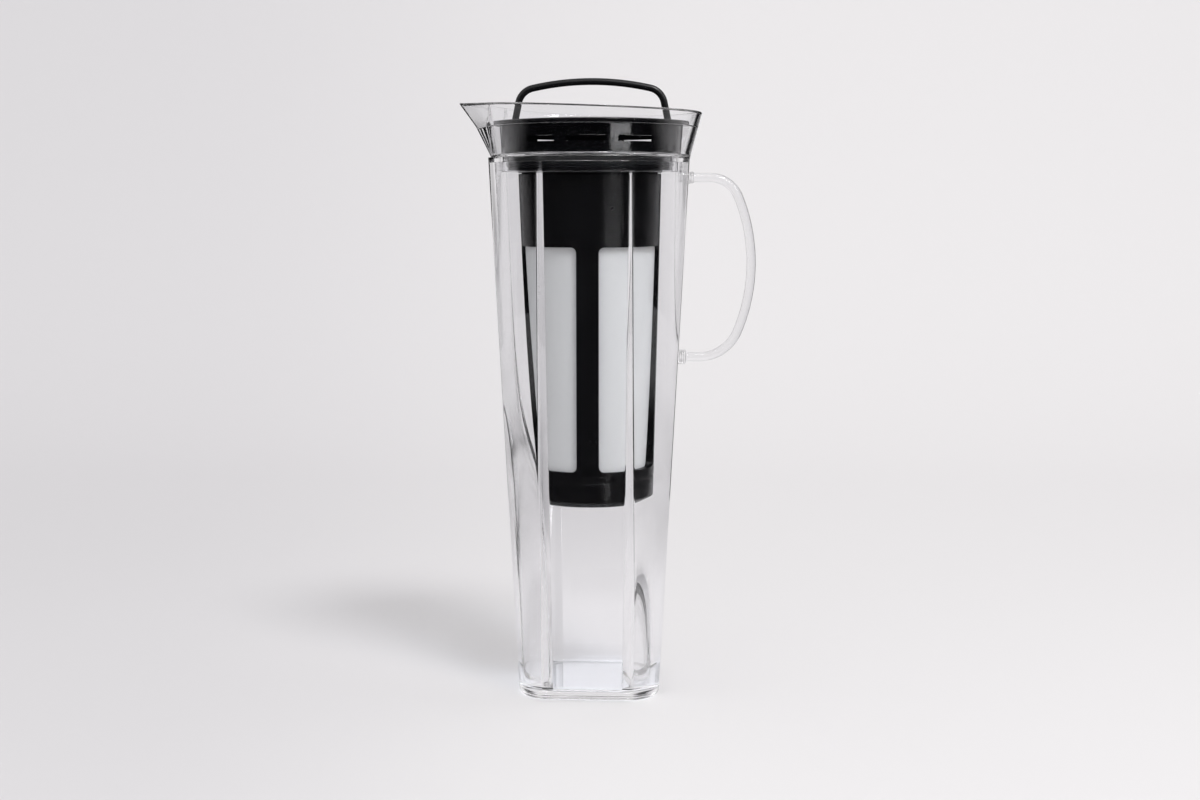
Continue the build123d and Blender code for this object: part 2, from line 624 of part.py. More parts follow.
def make_lid_filter_socket():
    """Plate with a ring of pouring slots round the socket that takes the filter's neck."""
    outer = SOCKET_RADIUS
    rim = PLUG_INSIDE_RADIUS - SOCKET_RIM_CLEARANCE
    low = SOCKET_LOW_Z
    high = SOCKET_SEAT_Z + SOCKET_PLATE + SOCKET_RISE
    groove_low = SOCKET_SEAT_Z + SEAL_GROOVE_RISE
    groove_high = groove_low + SEAL_HEIGHT + 2 * SEAL_CLEARANCE
    groove_radius = SOCKET_BORE_RADIUS + SEAL_WALL + SEAL_CLEARANCE
    socket = turned_solid([
        (SOCKET_BORE_RADIUS, low),
        (outer, low),
        (outer, SOCKET_SEAT_Z),
        (rim, SOCKET_SEAT_Z),
        (rim, SOCKET_SEAT_Z + SOCKET_PLATE),
        (outer, SOCKET_SEAT_Z + SOCKET_PLATE),
        (outer, high),
        (0, high),
        (0, high - SOCKET_ROOF),
        (SOCKET_BORE_RADIUS, high - SOCKET_ROOF),
        (SOCKET_BORE_RADIUS, groove_high),
        (groove_radius, groove_high),
        (groove_radius, groove_low),
        (SOCKET_BORE_RADIUS, groove_low),
    ])
    for number in range(POUR_SLOTS):
        angle = number * 360 / POUR_SLOTS
        slot = sector(rim - SOCKET_LEDGE, outer + POUR_SLOT_MARGIN, SOCKET_PLATE, angle, POUR_SLOT_SPAN)
        socket -= Pos(0, 0, SOCKET_SEAT_Z) * slot
    return socket


def make_filter_neck_seal():
    """Square-section ring in the socket's groove, round the filter's neck."""
    low = SOCKET_SEAT_Z + SEAL_GROOVE_RISE + SEAL_CLEARANCE
    return Pos(0, 0, low) * ring_up(SOCKET_BORE_RADIUS + SEAL_WALL, SOCKET_BORE_RADIUS, SEAL_HEIGHT)


def filter_radius(z):
    """Outside radius of the filter at height z."""
    return FILTER_TOP_RADIUS - FILTER_TAPER * (FILTER_TOP_Z - z)


def window_cutter():
    """Long window between two ribs of even width, with round corners."""
    reach = 2 * FILTER_TOP_RADIUS
    height = WINDOW_TOP - WINDOW_LOW
    face = Rectangle(reach, height, align=(Align.MIN, Align.MIN))
    face = fillet(face.vertices().group_by(Axis.X)[0], WINDOW_CORNER)
    across = extrude(Plane.XZ * face, amount=-reach)
    along = extrude(Plane.YZ * face, amount=reach)
    return Pos(RIB_WIDTH / 2, 0, WINDOW_LOW) * across & Pos(0, RIB_WIDTH / 2, WINDOW_LOW) * along


def make_filter_frame():
    """Tapered frame with four windows and the neck that enters the lid's socket."""
    neck_top = FILTER_TOP_Z + NECK_HEIGHT
    neck_inside = NECK_SLIDE_RADIUS - NECK_WALL
    shoulder_low = FILTER_TOP_Z - NECK_BLEND
    frame = turned_solid([
        (filter_radius(FILTER_PARTING_Z), FILTER_PARTING_Z),
        (FILTER_TOP_RADIUS, FILTER_TOP_Z),
        (NECK_SLIDE_RADIUS, FILTER_TOP_Z),
        (NECK_SLIDE_RADIUS, neck_top),
        (neck_inside, neck_top),
        (neck_inside, shoulder_low),
        (filter_radius(shoulder_low - NECK_BLEND) - FILTER_WALL, shoulder_low - NECK_BLEND),
        (filter_radius(FILTER_PARTING_Z) - FILTER_WALL, FILTER_PARTING_Z),
    ])
    for number in range(WINDOWS):
        frame -= Rot(0, 0, number * 360 / WINDOWS) * window_cutter()
    return frame


def make_filter_mesh():
    """Mesh sleeve that lines the frame from just above the cap to just above the windows."""
    low = FILTER_PARTING_Z + CAP_GAP
    high = WINDOW_TOP + MESH_OVERLAP
    return turned_solid([
        (filter_radius(low) - FILTER_WALL, low),
        (filter_radius(high) - FILTER_WALL, high),
        (filter_radius(high) - FILTER_WALL - MESH_THICKNESS, high),
        (filter_radius(low) - FILTER_WALL - MESH_THICKNESS, low),
    ])


def make_filter_cap():
    """Cup that closes the filter's foot, with an inner skirt that plugs into the sleeve."""
    top = FILTER_PARTING_Z - CAP_GAP
    skirt_top = WINDOW_LOW + CAP_SKIRT_RISE
    skirt = filter_radius(top) - FILTER_WALL - MESH_THICKNESS - CAP_SKIRT_CLEARANCE
    inside = skirt - CAP_SKIRT_WALL
    bottom = filter_radius(FILTER_BOTTOM_Z)
    return turned_solid([
        (0, FILTER_BOTTOM_Z),
        (bottom - CAP_BOTTOM_CHAMFER, FILTER_BOTTOM_Z),
        (bottom, FILTER_BOTTOM_Z + CAP_BOTTOM_CHAMFER),
        (filter_radius(top), top),
        (skirt, top),
        (skirt, skirt_top),
        (inside, skirt_top),
        (inside, FILTER_BOTTOM_Z + CAP_WALL),
        (0, FILTER_BOTTOM_Z + CAP_WALL),
    ])


def main():
    os.makedirs("parts", exist_ok=True)
    parts = {
        "jug_body": make_jug_body(),
        "pour_collar": make_pour_collar(),
        "handle_rod": make_handle_rod(),
        "handle_upper_boss": make_boss(UPPER_ARM_Z, UPPER_BOSS_DIAMETER, UPPER_BOSS_LENGTH, UPPER_BOSS_RINGS),
        "handle_lower_boss": make_boss(LOWER_ARM_Z, LOWER_BOSS_DIAMETER, LOWER_BOSS_LENGTH, LOWER_BOSS_RINGS),
        "lid_drum": make_lid_drum(),
        "lid_cap": make_lid_cap(),
        "lid_filter_socket": make_lid_filter_socket(),
        "lid_gasket": make_lid_gasket(),
        "bail_handle": make_bail_handle(),
        "bail_pivot_pins": make_bail_pivot_pins(),
        "filter_neck_seal": make_filter_neck_seal(),
        "filter_frame": make_filter_frame(),
        "filter_mesh": make_filter_mesh(),
        "filter_cap": make_filter_cap(),
    }
    for name, shape in parts.items():
        export_step(shape, f"parts/{name}.step")


main()
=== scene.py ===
"""Looks of a clear cold brew jug with a black lid and a mesh filter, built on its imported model."""

from __future__ import annotations

import logging
import math
from dataclasses import dataclass, replace
from enum import Enum
from typing import Any, Callable, Sequence

import bmesh
import bpy
from mathutils import Matrix, Vector

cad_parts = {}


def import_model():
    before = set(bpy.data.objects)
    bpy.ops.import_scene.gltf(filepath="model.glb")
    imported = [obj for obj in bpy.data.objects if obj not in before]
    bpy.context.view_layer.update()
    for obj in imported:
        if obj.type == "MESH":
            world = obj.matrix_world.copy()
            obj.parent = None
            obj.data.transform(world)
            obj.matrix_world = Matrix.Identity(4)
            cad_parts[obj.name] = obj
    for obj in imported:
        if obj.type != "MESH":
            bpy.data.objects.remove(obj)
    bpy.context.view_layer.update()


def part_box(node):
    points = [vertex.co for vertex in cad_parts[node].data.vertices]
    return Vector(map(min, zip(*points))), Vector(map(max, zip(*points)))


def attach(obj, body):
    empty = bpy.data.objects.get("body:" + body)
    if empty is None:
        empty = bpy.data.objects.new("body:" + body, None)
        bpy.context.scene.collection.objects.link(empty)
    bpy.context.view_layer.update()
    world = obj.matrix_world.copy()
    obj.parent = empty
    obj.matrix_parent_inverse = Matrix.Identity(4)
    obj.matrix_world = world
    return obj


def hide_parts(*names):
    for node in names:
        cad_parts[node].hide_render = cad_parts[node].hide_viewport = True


LOG = logging.getLogger("cold_brew_jug")
MM = 0.001
TOUCH = 1e-4
RIGHT_ANGLE = math.pi / 2
FULL_TURN = 2 * math.pi
SHARP_RIM = math.radians(50.0)
OVERCUT = 1.0
END_BORDER = 0.2

Shape = bmesh.types.BMesh
Edge = bmesh.types.BMEdge
Piece = bpy.types.Object
Tree = bpy.types.NodeTree
Pair = tuple[float, float]
Ring = list[Vector]


class Body(Enum):
    """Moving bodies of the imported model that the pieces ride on."""

    JUG = "jug"
    LID_SEAL = "lid_seal"
    LID = "lid"
    BAIL = "bail"
    FILTER_SEAL = "filter_seal"
    FILTER = "filter"
    FILTER_FOOT = "filter_foot"


# Meshes: everything is drawn in millimetres and made metres when its piece is finished


def spread(first: float, last: float, steps: int) -> list[float]:
    """Evenly spaced values from the first to the last, both included."""
    return [first + (last - first) * step / steps for step in range(steps + 1)]


def new_piece(name: str, bm: Shape) -> Piece:
    """Turns a shape into a linked object.

    Args:
        name: Name of the new object.
        bm: The shape, which is freed.

    Returns:
        The new object, at the origin.
    """
    mesh = bpy.data.meshes.new(name)
    bm.to_mesh(mesh)
    bm.free()
    piece = bpy.data.objects.new(name, mesh)
    bpy.context.scene.collection.objects.link(piece)
    return piece


def close_outwards(bm: Shape) -> None:
    """Welds what touches and turns the faces of a closed shape outwards."""
    bmesh.ops.remove_doubles(bm, verts=bm.verts[:], dist=TOUCH)
    bmesh.ops.recalc_face_normals(bm, faces=bm.faces[:])


def skin(rings: Sequence[Ring], endless: bool = False) -> Shape:
    """Bridges rings of the same number of points into a closed shape.

    Args:
        rings: The rings in order.
        endless: Bridges the last ring to the first, instead of filling both ends. A filled end gets a
            narrow border that keeps the shading of its middle flat.

    Returns:
        The closed shape.
    """
    bm = bmesh.new()
    loops = []
    for ring in rings:
        verts = [bm.verts.new(point) for point in ring]
        loops.append([bm.edges.new(pair) for pair in zip(verts, verts[1:] + verts[:1])])
    for first, second in zip(loops, loops[1:] + loops[:1] if endless else loops[1:]):
        bmesh.ops.bridge_loops(bm, edges=first + second)
    for loop in () if endless else (loops[0], loops[-1]):
        filled = bmesh.ops.edgeloop_fill(bm, edges=loop)["faces"]
        bmesh.ops.inset_region(bm, faces=filled, thickness=END_BORDER, use_even_offset=True)
    close_outwards(bm)
    return bm


def lathe(name: str, outline: Sequence[Pair], easing: float, steps: int = 192) -> Piece:
    """Turns a closed outline about Z, with its corners eased.

    Args:
        name: Name of the piece.
        outline: Radius and height of each corner.
        easing: How far back from each corner its round starts.
        steps: Number of flats round the piece.

    Returns:
        The turned piece.
    """
    bm = bmesh.new()
    corners = [bm.verts.new((radius, 0.0, height)) for radius, height in outline]
    bm.faces.new(corners)
    bmesh.ops.bevel(
        bm,
        geom=[corner for corner in corners if corner.co.x > TOUCH],
        offset=easing,
        affect="VERTICES",
        segments=3,
        profile=0.5,
        material=-1,
        clamp_overlap=True,
    )
    bmesh.ops.delete(bm, geom=bm.faces[:], context="FACES_ONLY")
    core = [edge for edge in bm.edges if all(vert.co.x < TOUCH for vert in edge.verts)]
    bmesh.ops.delete(bm, geom=core, context="EDGES")
    bmesh.ops.spin(
        bm,
        geom=bm.verts[:] + bm.edges[:],
        cent=(0, 0, 0),
        axis=(0, 0, 1),
        dvec=(0, 0, 0),
        angle=FULL_TURN,
        steps=steps,
        use_merge=True,
    )
    close_outwards(bm)
    return new_piece(name, bm)


def turn_round(bm: Shape, angle: float) -> Shape:
    """Turns a shape about Z.

    Args:
        bm: The shape, which is changed.
        angle: How far, in degrees.

    Returns:
        The same shape.
    """
    turn = Matrix.Rotation(math.radians(angle), 3, "Z")
    bmesh.ops.rotate(bm, cent=(0, 0, 0), matrix=turn, verts=bm.verts[:])
    return bm


def block(low: Pair, high: Pair, bottom: float, top: float) -> Shape:
    """A box.

    Args:
        low: X and Y of its lowest corner.
        high: X and Y of its highest corner.
        bottom: Height of its underside.
        top: Height of its top.

    Returns:
        The box.
    """
    ends = Vector((*low, bottom)), Vector((*high, top))
    bm = bmesh.new()
    bmesh.ops.create_cube(bm, size=1.0)
    bmesh.ops.scale(bm, vec=ends[1] - ends[0], verts=bm.verts[:])
    bmesh.ops.translate(bm, vec=(ends[0] + ends[1]) / 2, verts=bm.verts[:])
    return bm


def round_edges(bm: Shape, chosen: Callable[[Edge], bool], radius: float, segments: int) -> None:
    """Rounds some edges of a shape.

    Args:
        bm: The shape.
        chosen: Says whether an edge is rounded.
        radius: Radius of the round.
        segments: Number of strips in the round.
    """
    bmesh.ops.bevel(
        bm,
        geom=[edge for edge in bm.edges if chosen(edge)],
        offset=radius,
        affect="EDGES",
        segments=segments,
        profile=0.5,
        material=-1,
        clamp_overlap=True,
    )


def ring_sector(radii: Pair, heights: Pair, angle: float, span: float) -> Shape:
    """Part of a ring with a square section.

    Args:
        radii: Inside and outside radius.
        heights: Height of the underside and of the top.
        angle: Middle of the part, in degrees from the front towards +X.
        span: How far it reaches, in degrees.

    Returns:
        The part of a ring.
    """
    (inner, outer), (low, high) = radii, heights
    bm = bmesh.new()
    corners = ((inner, 0, low), (outer, 0, low), (outer, 0, high), (inner, 0, high))
    bm.faces.new([bm.verts.new(corner) for corner in corners])
    bmesh.ops.spin(
        bm,
        geom=bm.verts[:] + bm.edges[:] + bm.faces[:],
        cent=(0, 0, 0),
        axis=(0, 0, 1),
        dvec=(0, 0, 0),
        angle=math.radians(span),
        steps=max(4, round(span)),
    )
    close_outwards(bm)
    return turn_round(bm, angle - 90 - span / 2)


def add_axle(bm: Shape, x: float, z: float, radius: float, length: float, sides: int) -> None:
    """Adds a cylinder that lies along X over the middle of the Y axis.

    Args:
        bm: Where it goes.
        x: Place of its middle along X.
        z: Height of its axis.
        radius: Its radius.
        length: Its length.
        sides: Number of flats round it.
    """
    bmesh.ops.create_cone(
        bm,
        cap_ends=True,
        segments=sides,
        radius1=radius,
        radius2=radius,
        depth=length,
        matrix=Matrix.Translation((x, 0, z)) @ Matrix.Rotation(RIGHT_ANGLE, 4, "Y"),
    )


def is_rim(edge: Edge) -> bool:
    """Whether an edge of a cylinder lies between its round side and an end."""
    return edge.calc_face_angle(0.0) > SHARP_RIM


def apply_modifier(piece: Piece, kind: str, **settings: Any) -> None:
    """Changes the mesh of a piece by one modifier.

    Args:
        piece: The piece that changes.
        kind: Type of the modifier.
        settings: Properties of the modifier.
    """
    modifier = piece.modifiers.new(kind.lower(), kind)
    for name, value in settings.items():
        setattr(modifier, name, value)
    graph = bpy.context.evaluated_depsgraph_get()
    mesh = bpy.data.meshes.new_from_object(piece.evaluated_get(graph))
    piece.modifiers.clear()
    old = piece.data
    piece.data = mesh
    bpy.data.meshes.remove(old)


def carve(piece: Piece, tools: Sequence[Shape], operation: str = "DIFFERENCE") -> None:
    """Cuts shapes out of a piece, or joins them to it.

    Args:
        piece: The piece that changes.
        tools: The shapes, which are used up.
        operation: DIFFERENCE to cut and UNION to join.
    """
    for tool in tools:
        cutter = new_piece("cutter", tool)
        apply_modifier(piece, "BOOLEAN", operation=operation, solver="EXACT", object=cutter)
        mesh = cutter.data
        bpy.data.objects.remove(cutter)
        bpy.data.meshes.remove(mesh)


def ease_rims(piece: Piece, width: float) -> None:
    """Eases every sharp edge of a piece over this width."""
    limits = {"limit_method": "ANGLE", "angle_limit": SHARP_RIM, "use_clamp_overlap": True}
    apply_modifier(piece, "BEVEL", width=width, segments=2, **limits)


@dataclass(frozen=True)
class Station:
    """A place on a bent rod that lies in the XZ plane: its centre, its heading from +X and its radius."""

    x: float
    z: float
    heading: float
    radius: float

    def ring(self, sides: int) -> Ring:
        """Points of the rod's round section here.

        Args:
            sides: Number of points.

        Returns:
            The points, in the order of the angle.
        """
        across = Vector((-math.sin(self.heading), 0.0, math.cos(self.heading)))
        centre = Vector((self.x, 0.0, self.z))
        turns = spread(0.0, FULL_TURN, sides)[:-1]
        return [centre + self.radius * (Vector((0, math.cos(a), 0)) + across * math.sin(a)) for a in turns]


class RodPath:
    """A rod's centre line of straight runs and tangent arcs, as stations."""

    def __init__(self, start: Station) -> None:
        """Starts the line at a station."""
        self.stations = [start]

    def straight(self, length: float, steps: int) -> None:
        """Goes on along the last heading.

        Args:
            length: How far.
            steps: Number of stations that it takes.
        """
        start = self.stations[-1]
        for along in spread(0.0, length, steps)[1:]:
            x = start.x + math.cos(start.heading) * along
            z = start.z + math.sin(start.heading) * along
            self.stations.append(replace(start, x=x, z=z))

    def bend(self, radius: float, turn: float, steps: int) -> None:
        """Goes on along an arc.

        Args:
            radius: Radius of the centre line.
            turn: How far it turns in radians, anticlockwise if positive.
            steps: Number of stations that it takes.
        """
        start = self.stations[-1]
        reach = math.copysign(radius, turn)
        for heading in spread(start.heading, start.heading + turn, steps)[1:]:
            x = start.x + reach * (math.sin(heading) - math.sin(start.heading))
            z = start.z - reach * (math.cos(heading) - math.cos(start.heading))
            self.stations.append(replace(start, x=x, z=z, heading=heading))


# Finishes


def srgb(code: str) -> tuple[float, float, float, float]:
    """Linear colour of a hex code.

    Args:
        code: The colour as #RRGGBB.

    Returns:
        Its linear red, green, blue and an alpha of 1.
    """
    parts = [int(code[i : i + 2], 16) / 255 for i in (1, 3, 5)]
    linear = [c / 12.92 if c <= 0.04045 else ((c + 0.055) / 1.055) ** 2.4 for c in parts]
    return (linear[0], linear[1], linear[2], 1.0)


def add_node(tree: Tree, kind: str, inputs: dict[Any, Any] | None = None, **settings: Any) -> bpy.types.Node:
    """Adds one node with its settings, values and links.

    Args:
        tree: The node tree.
        kind: Type of the node, without the ShaderNode in front.
        inputs: What its inputs get, by name or number: a value, a socket, or a node's first output.
        settings: Properties of the node.

    Returns:
        The new node.
    """
    node = tree.nodes.new("ShaderNode" + kind)
    for name, value in settings.items():
        setattr(node, name, value)
    for name, value in (inputs or {}).items():
        if isinstance(value, bpy.types.Node):
            value = value.outputs[0]
        if isinstance(value, bpy.types.NodeSocket):
            tree.links.new(value, node.inputs[name])
        else:
            node.inputs[name].default_value = value
    return node


def empty_material(name: str) -> tuple[bpy.types.Material, Tree]:
    """A material of this name with no nodes, and its node tree.

    Args:
        name: Name of the new material.

    Returns:
        The material and its empty node tree.
    """
    material = bpy.data.materials.new(name)
    material.use_nodes = True
    material.node_tree.nodes.clear()
    return material, material.node_tree


@dataclass(frozen=True)
class ClearCopolyester:
    """Clear moulded copolyester: water-clear, with a cool grey where the light goes along the wall."""

    name: str = "clear_moulded_copolyester"
    slot: str = "clear_body"
    tint: str = "#FEFEFF"
    shadow_tint: str = "#EEF0F2"
    ior: float = 1.57
    roughness: float = 0.0

    def material(self) -> bpy.types.Material:
        """Glass-like shader that lets lamps through, so that the jug's own shadow stays faint.

        Returns:
            The new material.
        """
        material, tree = empty_material(self.name)
        bulk = {"Base Color": srgb(self.tint), "Roughness": self.roughness, "IOR": self.ior}
        glass = add_node(tree, "BsdfPrincipled", {**bulk, "Transmission Weight": 1.0})
        clear = add_node(tree, "BsdfTransparent", {"Color": srgb(self.shadow_tint)})
        shadow = add_node(tree, "LightPath").outputs["Is Shadow Ray"]
        mix = add_node(tree, "MixShader", {0: shadow, 1: glass, 2: clear})
        add_node(tree, "OutputMaterial", {"Surface": mix})
        return material


@dataclass(frozen=True)
class MouldedBlack:
    """Black moulded polypropylene: even black, a soft mottle in its gloss, and fine mould texture.

    The mottle and the grain are sizes in millimetres, and the grain's depth too.
    """

    name: str
    slot: str
    colour: str
    worn_colour: str
    roughness: Pair
    specular: float
    mottle: float
    grain: float
    grain_depth: float
    relief: float = 0.25
    ior: float = 1.5

    def material(self) -> bpy.types.Material:
        """Principled shader whose colour and gloss vary over a few millimetres.

        Returns:
            The new material.
        """
        material, tree = empty_material(self.name)
        place = add_node(tree, "TexCoord").outputs["Object"]
        fineness = {"Scale": 1 / (self.mottle * MM), "Detail": 3.0, "Roughness": 0.55}
        clouds = add_node(tree, "TexNoise", {"Vector": place, **fineness})
        tones = {0: clouds, 6: srgb(self.colour), 7: srgb(self.worn_colour)}
        low, high = self.roughness
        grain = add_node(tree, "TexNoise", {"Vector": place, "Scale": 1 / (self.grain * MM), "Detail": 2.0})
        depth = {"Strength": self.relief, "Distance": self.grain_depth * MM}
        inputs = {
            "Base Color": add_node(tree, "Mix", tones, data_type="RGBA").outputs[2],
            "Roughness": add_node(tree, "MapRange", {"Value": clouds, "To Min": low, "To Max": high}),
            "Normal": add_node(tree, "Bump", {"Height": grain, **depth}),
            "IOR": self.ior,
            "Specular IOR Level": self.specular,
        }
        add_node(tree, "OutputMaterial", {"Surface": add_node(tree, "BsdfPrincipled", inputs)})
        return material


@dataclass(frozen=True)
class WovenNylon:
    """White nylon filter cloth: a plain weave of fine threads, faintly see-through.

    The real threads are too fine to count in the photo. They are drawn 0.5 mm apart, so that the weave shows.
    """

    name: str = "woven_nylon_mesh"
    slot: str = "mesh_white"
    thread: str = "#FAFAFA"
    gap: str = "#E4E4E5"
    pitch: float = 0.5
    radius: float = 31.0
    thread_height: float = 0.1
    relief: float = 0.3
    roughness: float = 0.8
    openness: float = 0.22

    def material(self) -> bpy.types.Material:
        """Cloth with threads up and round the sleeve, with some of what is behind showing through.

        Returns:
            The new material.
        """
        material, tree = empty_material(self.name)
        place = add_node(tree, "TexCoord").outputs["Object"]
        x, y, z = add_node(tree, "SeparateXYZ", {0: place}).outputs
        angle = add_node(tree, "Math", {0: y, 1: x}, operation="ARCTAN2")
        threads_round = round(FULL_TURN * self.radius / self.pitch)
        threads = []
        for along, rate in ((angle, threads_round), (z, FULL_TURN / (self.pitch * MM))):
            phase = add_node(tree, "Math", {0: along, 1: rate}, operation="MULTIPLY")
            threads.append(add_node(tree, "Math", {0: phase}, operation="SINE"))
        weave = add_node(tree, "Math", {0: threads[0], 1: threads[1]}, operation="MULTIPLY")
        height = add_node(tree, "MapRange", {"Value": weave, "From Min": -1.0, "From Max": 1.0})
        tones = {0: height, 6: srgb(self.gap), 7: srgb(self.thread)}
        depth = {"Strength": self.relief, "Distance": self.thread_height * MM}
        inputs = {
            "Base Color": add_node(tree, "Mix", tones, data_type="RGBA").outputs[2],
            "Normal": add_node(tree, "Bump", {"Height": height, **depth}),
            "Roughness": self.roughness,
            "Specular IOR Level": 0.0,
        }
        cloth = add_node(tree, "BsdfPrincipled", inputs)
        hole = add_node(tree, "BsdfTransparent")
        mix = add_node(tree, "MixShader", {0: self.openness, 1: cloth, 2: hole})
        add_node(tree, "OutputMaterial", {"Surface": mix})
        return material


@dataclass(frozen=True)
class TurnedSteel:
    """Turned stainless steel: grey metal with rings left by the tool."""

    name: str = "turned_steel"
    slot: str = "pin_steel"
    colour: str = "#8E9094"
    roughness: float = 0.3
    ring_pitch: float = 0.3
    ring_depth: float = 0.02
    relief: float = 0.2

    def material(self) -> bpy.types.Material:
        """Metal with fine rings along X.

        Returns:
            The new material.
        """
        material, tree = empty_material(self.name)
        place = add_node(tree, "TexCoord").outputs["Object"]
        waves = {"Scale": 1 / (self.ring_pitch * MM * FULL_TURN), "Distortion": 0.4}
        rings = add_node(tree, "TexWave", {"Vector": place, **waves}, wave_type="BANDS", bands_direction="X")
        depth = {"Strength": self.relief, "Distance": self.ring_depth * MM}
        inputs = {
            "Base Color": srgb(self.colour),
            "Metallic": 1.0,
            "Roughness": self.roughness,
            "Normal": add_node(tree, "Bump", {"Height": rings.outputs["Fac"], **depth}),
        }
        add_node(tree, "OutputMaterial", {"Surface": add_node(tree, "BsdfPrincipled", inputs)})
        return material


# Polished mould: a black that mirrors the lamps as long soft streaks
LID_GLOSS = MouldedBlack(
    name="lid_gloss_polypropylene",
    slot="lid_black",
    colour="#050506",
    worn_colour="#09090B",
    roughness=(0.08, 0.16),
    specular=0.32,
    mottle=14.0,
    grain=1.2,
    grain_depth=0.01,
)
# Satin mould: a duller black with broad faint streaks
FILTER_SATIN = MouldedBlack(
    name="filter_satin_polypropylene",
    slot="filter_black",
    colour="#070607",
    worn_colour="#0B0A0C",
    roughness=(0.2, 0.3),
    specular=0.25,
    mottle=9.0,
    grain=0.6,
    grain_depth=0.02,
)
# Coated wire: satin, with a thin line of light along the rod
BAIL_COAT = MouldedBlack(
    name="bail_coated_wire",
    slot="bail_black",
    colour="#0D0D0F",
    worn_colour="#141416",
    roughness=(0.18, 0.28),
    specular=0.35,
    mottle=5.0,
    grain=0.5,
    grain_depth=0.02,
)
# Moulded silicone: a dark grey that hardly mirrors
SILICONE = MouldedBlack(
    name="black_silicone",
    slot="silicone",
    colour="#0E0E0F",
    worn_colour="#151517",
    roughness=(0.3, 0.42),
    specular=0.2,
    mottle=6.0,
    grain=0.4,
    grain_depth=0.01,
)
CLEAR_BODY = ClearCopolyester()
CLEAR_HANDLE = ClearCopolyester(name="clear_moulded_handle", slot="clear_handle")
NYLON = WovenNylon()
PIN_STEEL = TurnedSteel()
Finish = ClearCopolyester | MouldedBlack | WovenNylon | TurnedSteel


def finish_piece(piece: Piece, finish: Finish, body: Body, *nodes: str, sharp: float = 35.0) -> None:
    """Makes a drawn piece metres, dresses it and puts it in place of its nodes.

    Its large faces set the shading, so that an eased rim doesn't bend what is seen in a flat wall.

    Args:
        piece: The piece, drawn in millimetres.
        finish: What it is made of.
        body: The moving body that it rides on.
        nodes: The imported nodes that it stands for.
        sharp: Angle in degrees from which an edge is shaded sharp.
    """
    piece.data.shade_smooth()
    piece.data.set_sharp_from_angle(angle=math.radians(sharp))
    apply_modifier(piece, "WEIGHTED_NORMAL", mode="FACE_AREA", weight=50, keep_sharp=True)
    mesh = piece.data
    mesh.transform(Matrix.Scale(MM, 4))
    mesh.materials.clear()
    mesh.materials.append(bpy.data.materials.get(finish.name) or finish.material())
    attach(piece, body.value)
    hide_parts(*nodes)
    LOG.info("%s: %d faces on %s", piece.name, len(mesh.polygons), body.value)


class Places:
    """Heights and radii, in millimetres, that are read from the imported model."""

    def __init__(self) -> None:
        """Reads the boxes of the nodes."""
        jug, cap, pins, frame = map(self.box, ("jug_body", "lid_cap", "bail_pivot_pins", "filter_frame"))
        self.neck_z = jug[1].z
        self.neck_radius = jug[1].x
        self.cap_top = cap[1].z
        self.cap_radius = cap[1].x
        self.plug_bottom = self.box("lid_drum")[0].z
        self.pivot_z = (pins[0].z + pins[1].z) / 2
        self.filter_bottom = self.box("filter_cap")[0].z
        self.filter_neck_top = frame[1].z
        self.filter_radius = frame[1].x

    @staticmethod
    def box(node: str) -> tuple[Vector, Vector]:
        """Corners of a node in millimetres."""
        low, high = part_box(node)
        return low / MM, high / MM


# Clear jug


@dataclass(frozen=True)
class SquaredSection:
    """Plan shape of the jug's wall: four flats, and round corners that meet them at a soft crease."""

    flat: float
    half: float
    crease: float
    bend: float
    bend_steps: int = 8
    corner_steps: int = 16
    border: float = 0.2

    def quarter(self) -> Ring:
        """Points from the middle of the front flat to just before the middle of the next one.

        Returns:
            The points, at height zero.
        """
        turn = math.radians(self.crease)
        rest = self.flat - self.half - self.bend * (math.sin(turn) + 1 - math.cos(turn))
        corner = rest / (math.cos(turn) - math.sin(turn))
        arcs = (
            (self.bend, 0.0, turn, self.bend_steps),
            (corner, turn, RIGHT_ANGLE - turn, self.corner_steps),
            (self.bend, RIGHT_ANGLE - turn, RIGHT_ANGLE, self.bend_steps),
        )
        x, y = self.half, -self.flat
        points = [Vector((0, y, 0)), Vector((x - self.border, y, 0)), Vector((x, y, 0))]
        for radius, first, last, steps in arcs:
            for heading in spread(first, last, steps)[1:]:
                along = radius * (math.sin(heading) - math.sin(first))
                up = radius * (math.cos(first) - math.cos(heading))
                points.append(Vector((x + along, y + up, 0)))
            x, y = points[-1].xy
        return points + [Vector((x, y + self.border, 0))]

    def ring(self, z: float) -> Ring:
        """The whole outline at a height."""
        turns = [Matrix.Rotation(turn, 3, "Z") for turn in spread(0.0, FULL_TURN, 4)[:-1]]
        return [turn @ point + Vector((0, 0, z)) for turn in turns for point in self.quarter()]


def blend_to_circle(ring: Ring, radius: float, share: float) -> Ring:
    """Moves the points of a ring towards a circle.

    Args:
        ring: The points.
        radius: Radius of the circle.
        share: 0 for the ring itself and 1 for the circle.

    Returns:
        The moved points.
    """
    moved = []
    for point in ring:
        factor = radius / point.xy.length
        moved.append(point.lerp(Vector((point.x * factor, point.y * factor, point.z)), share))
    return moved


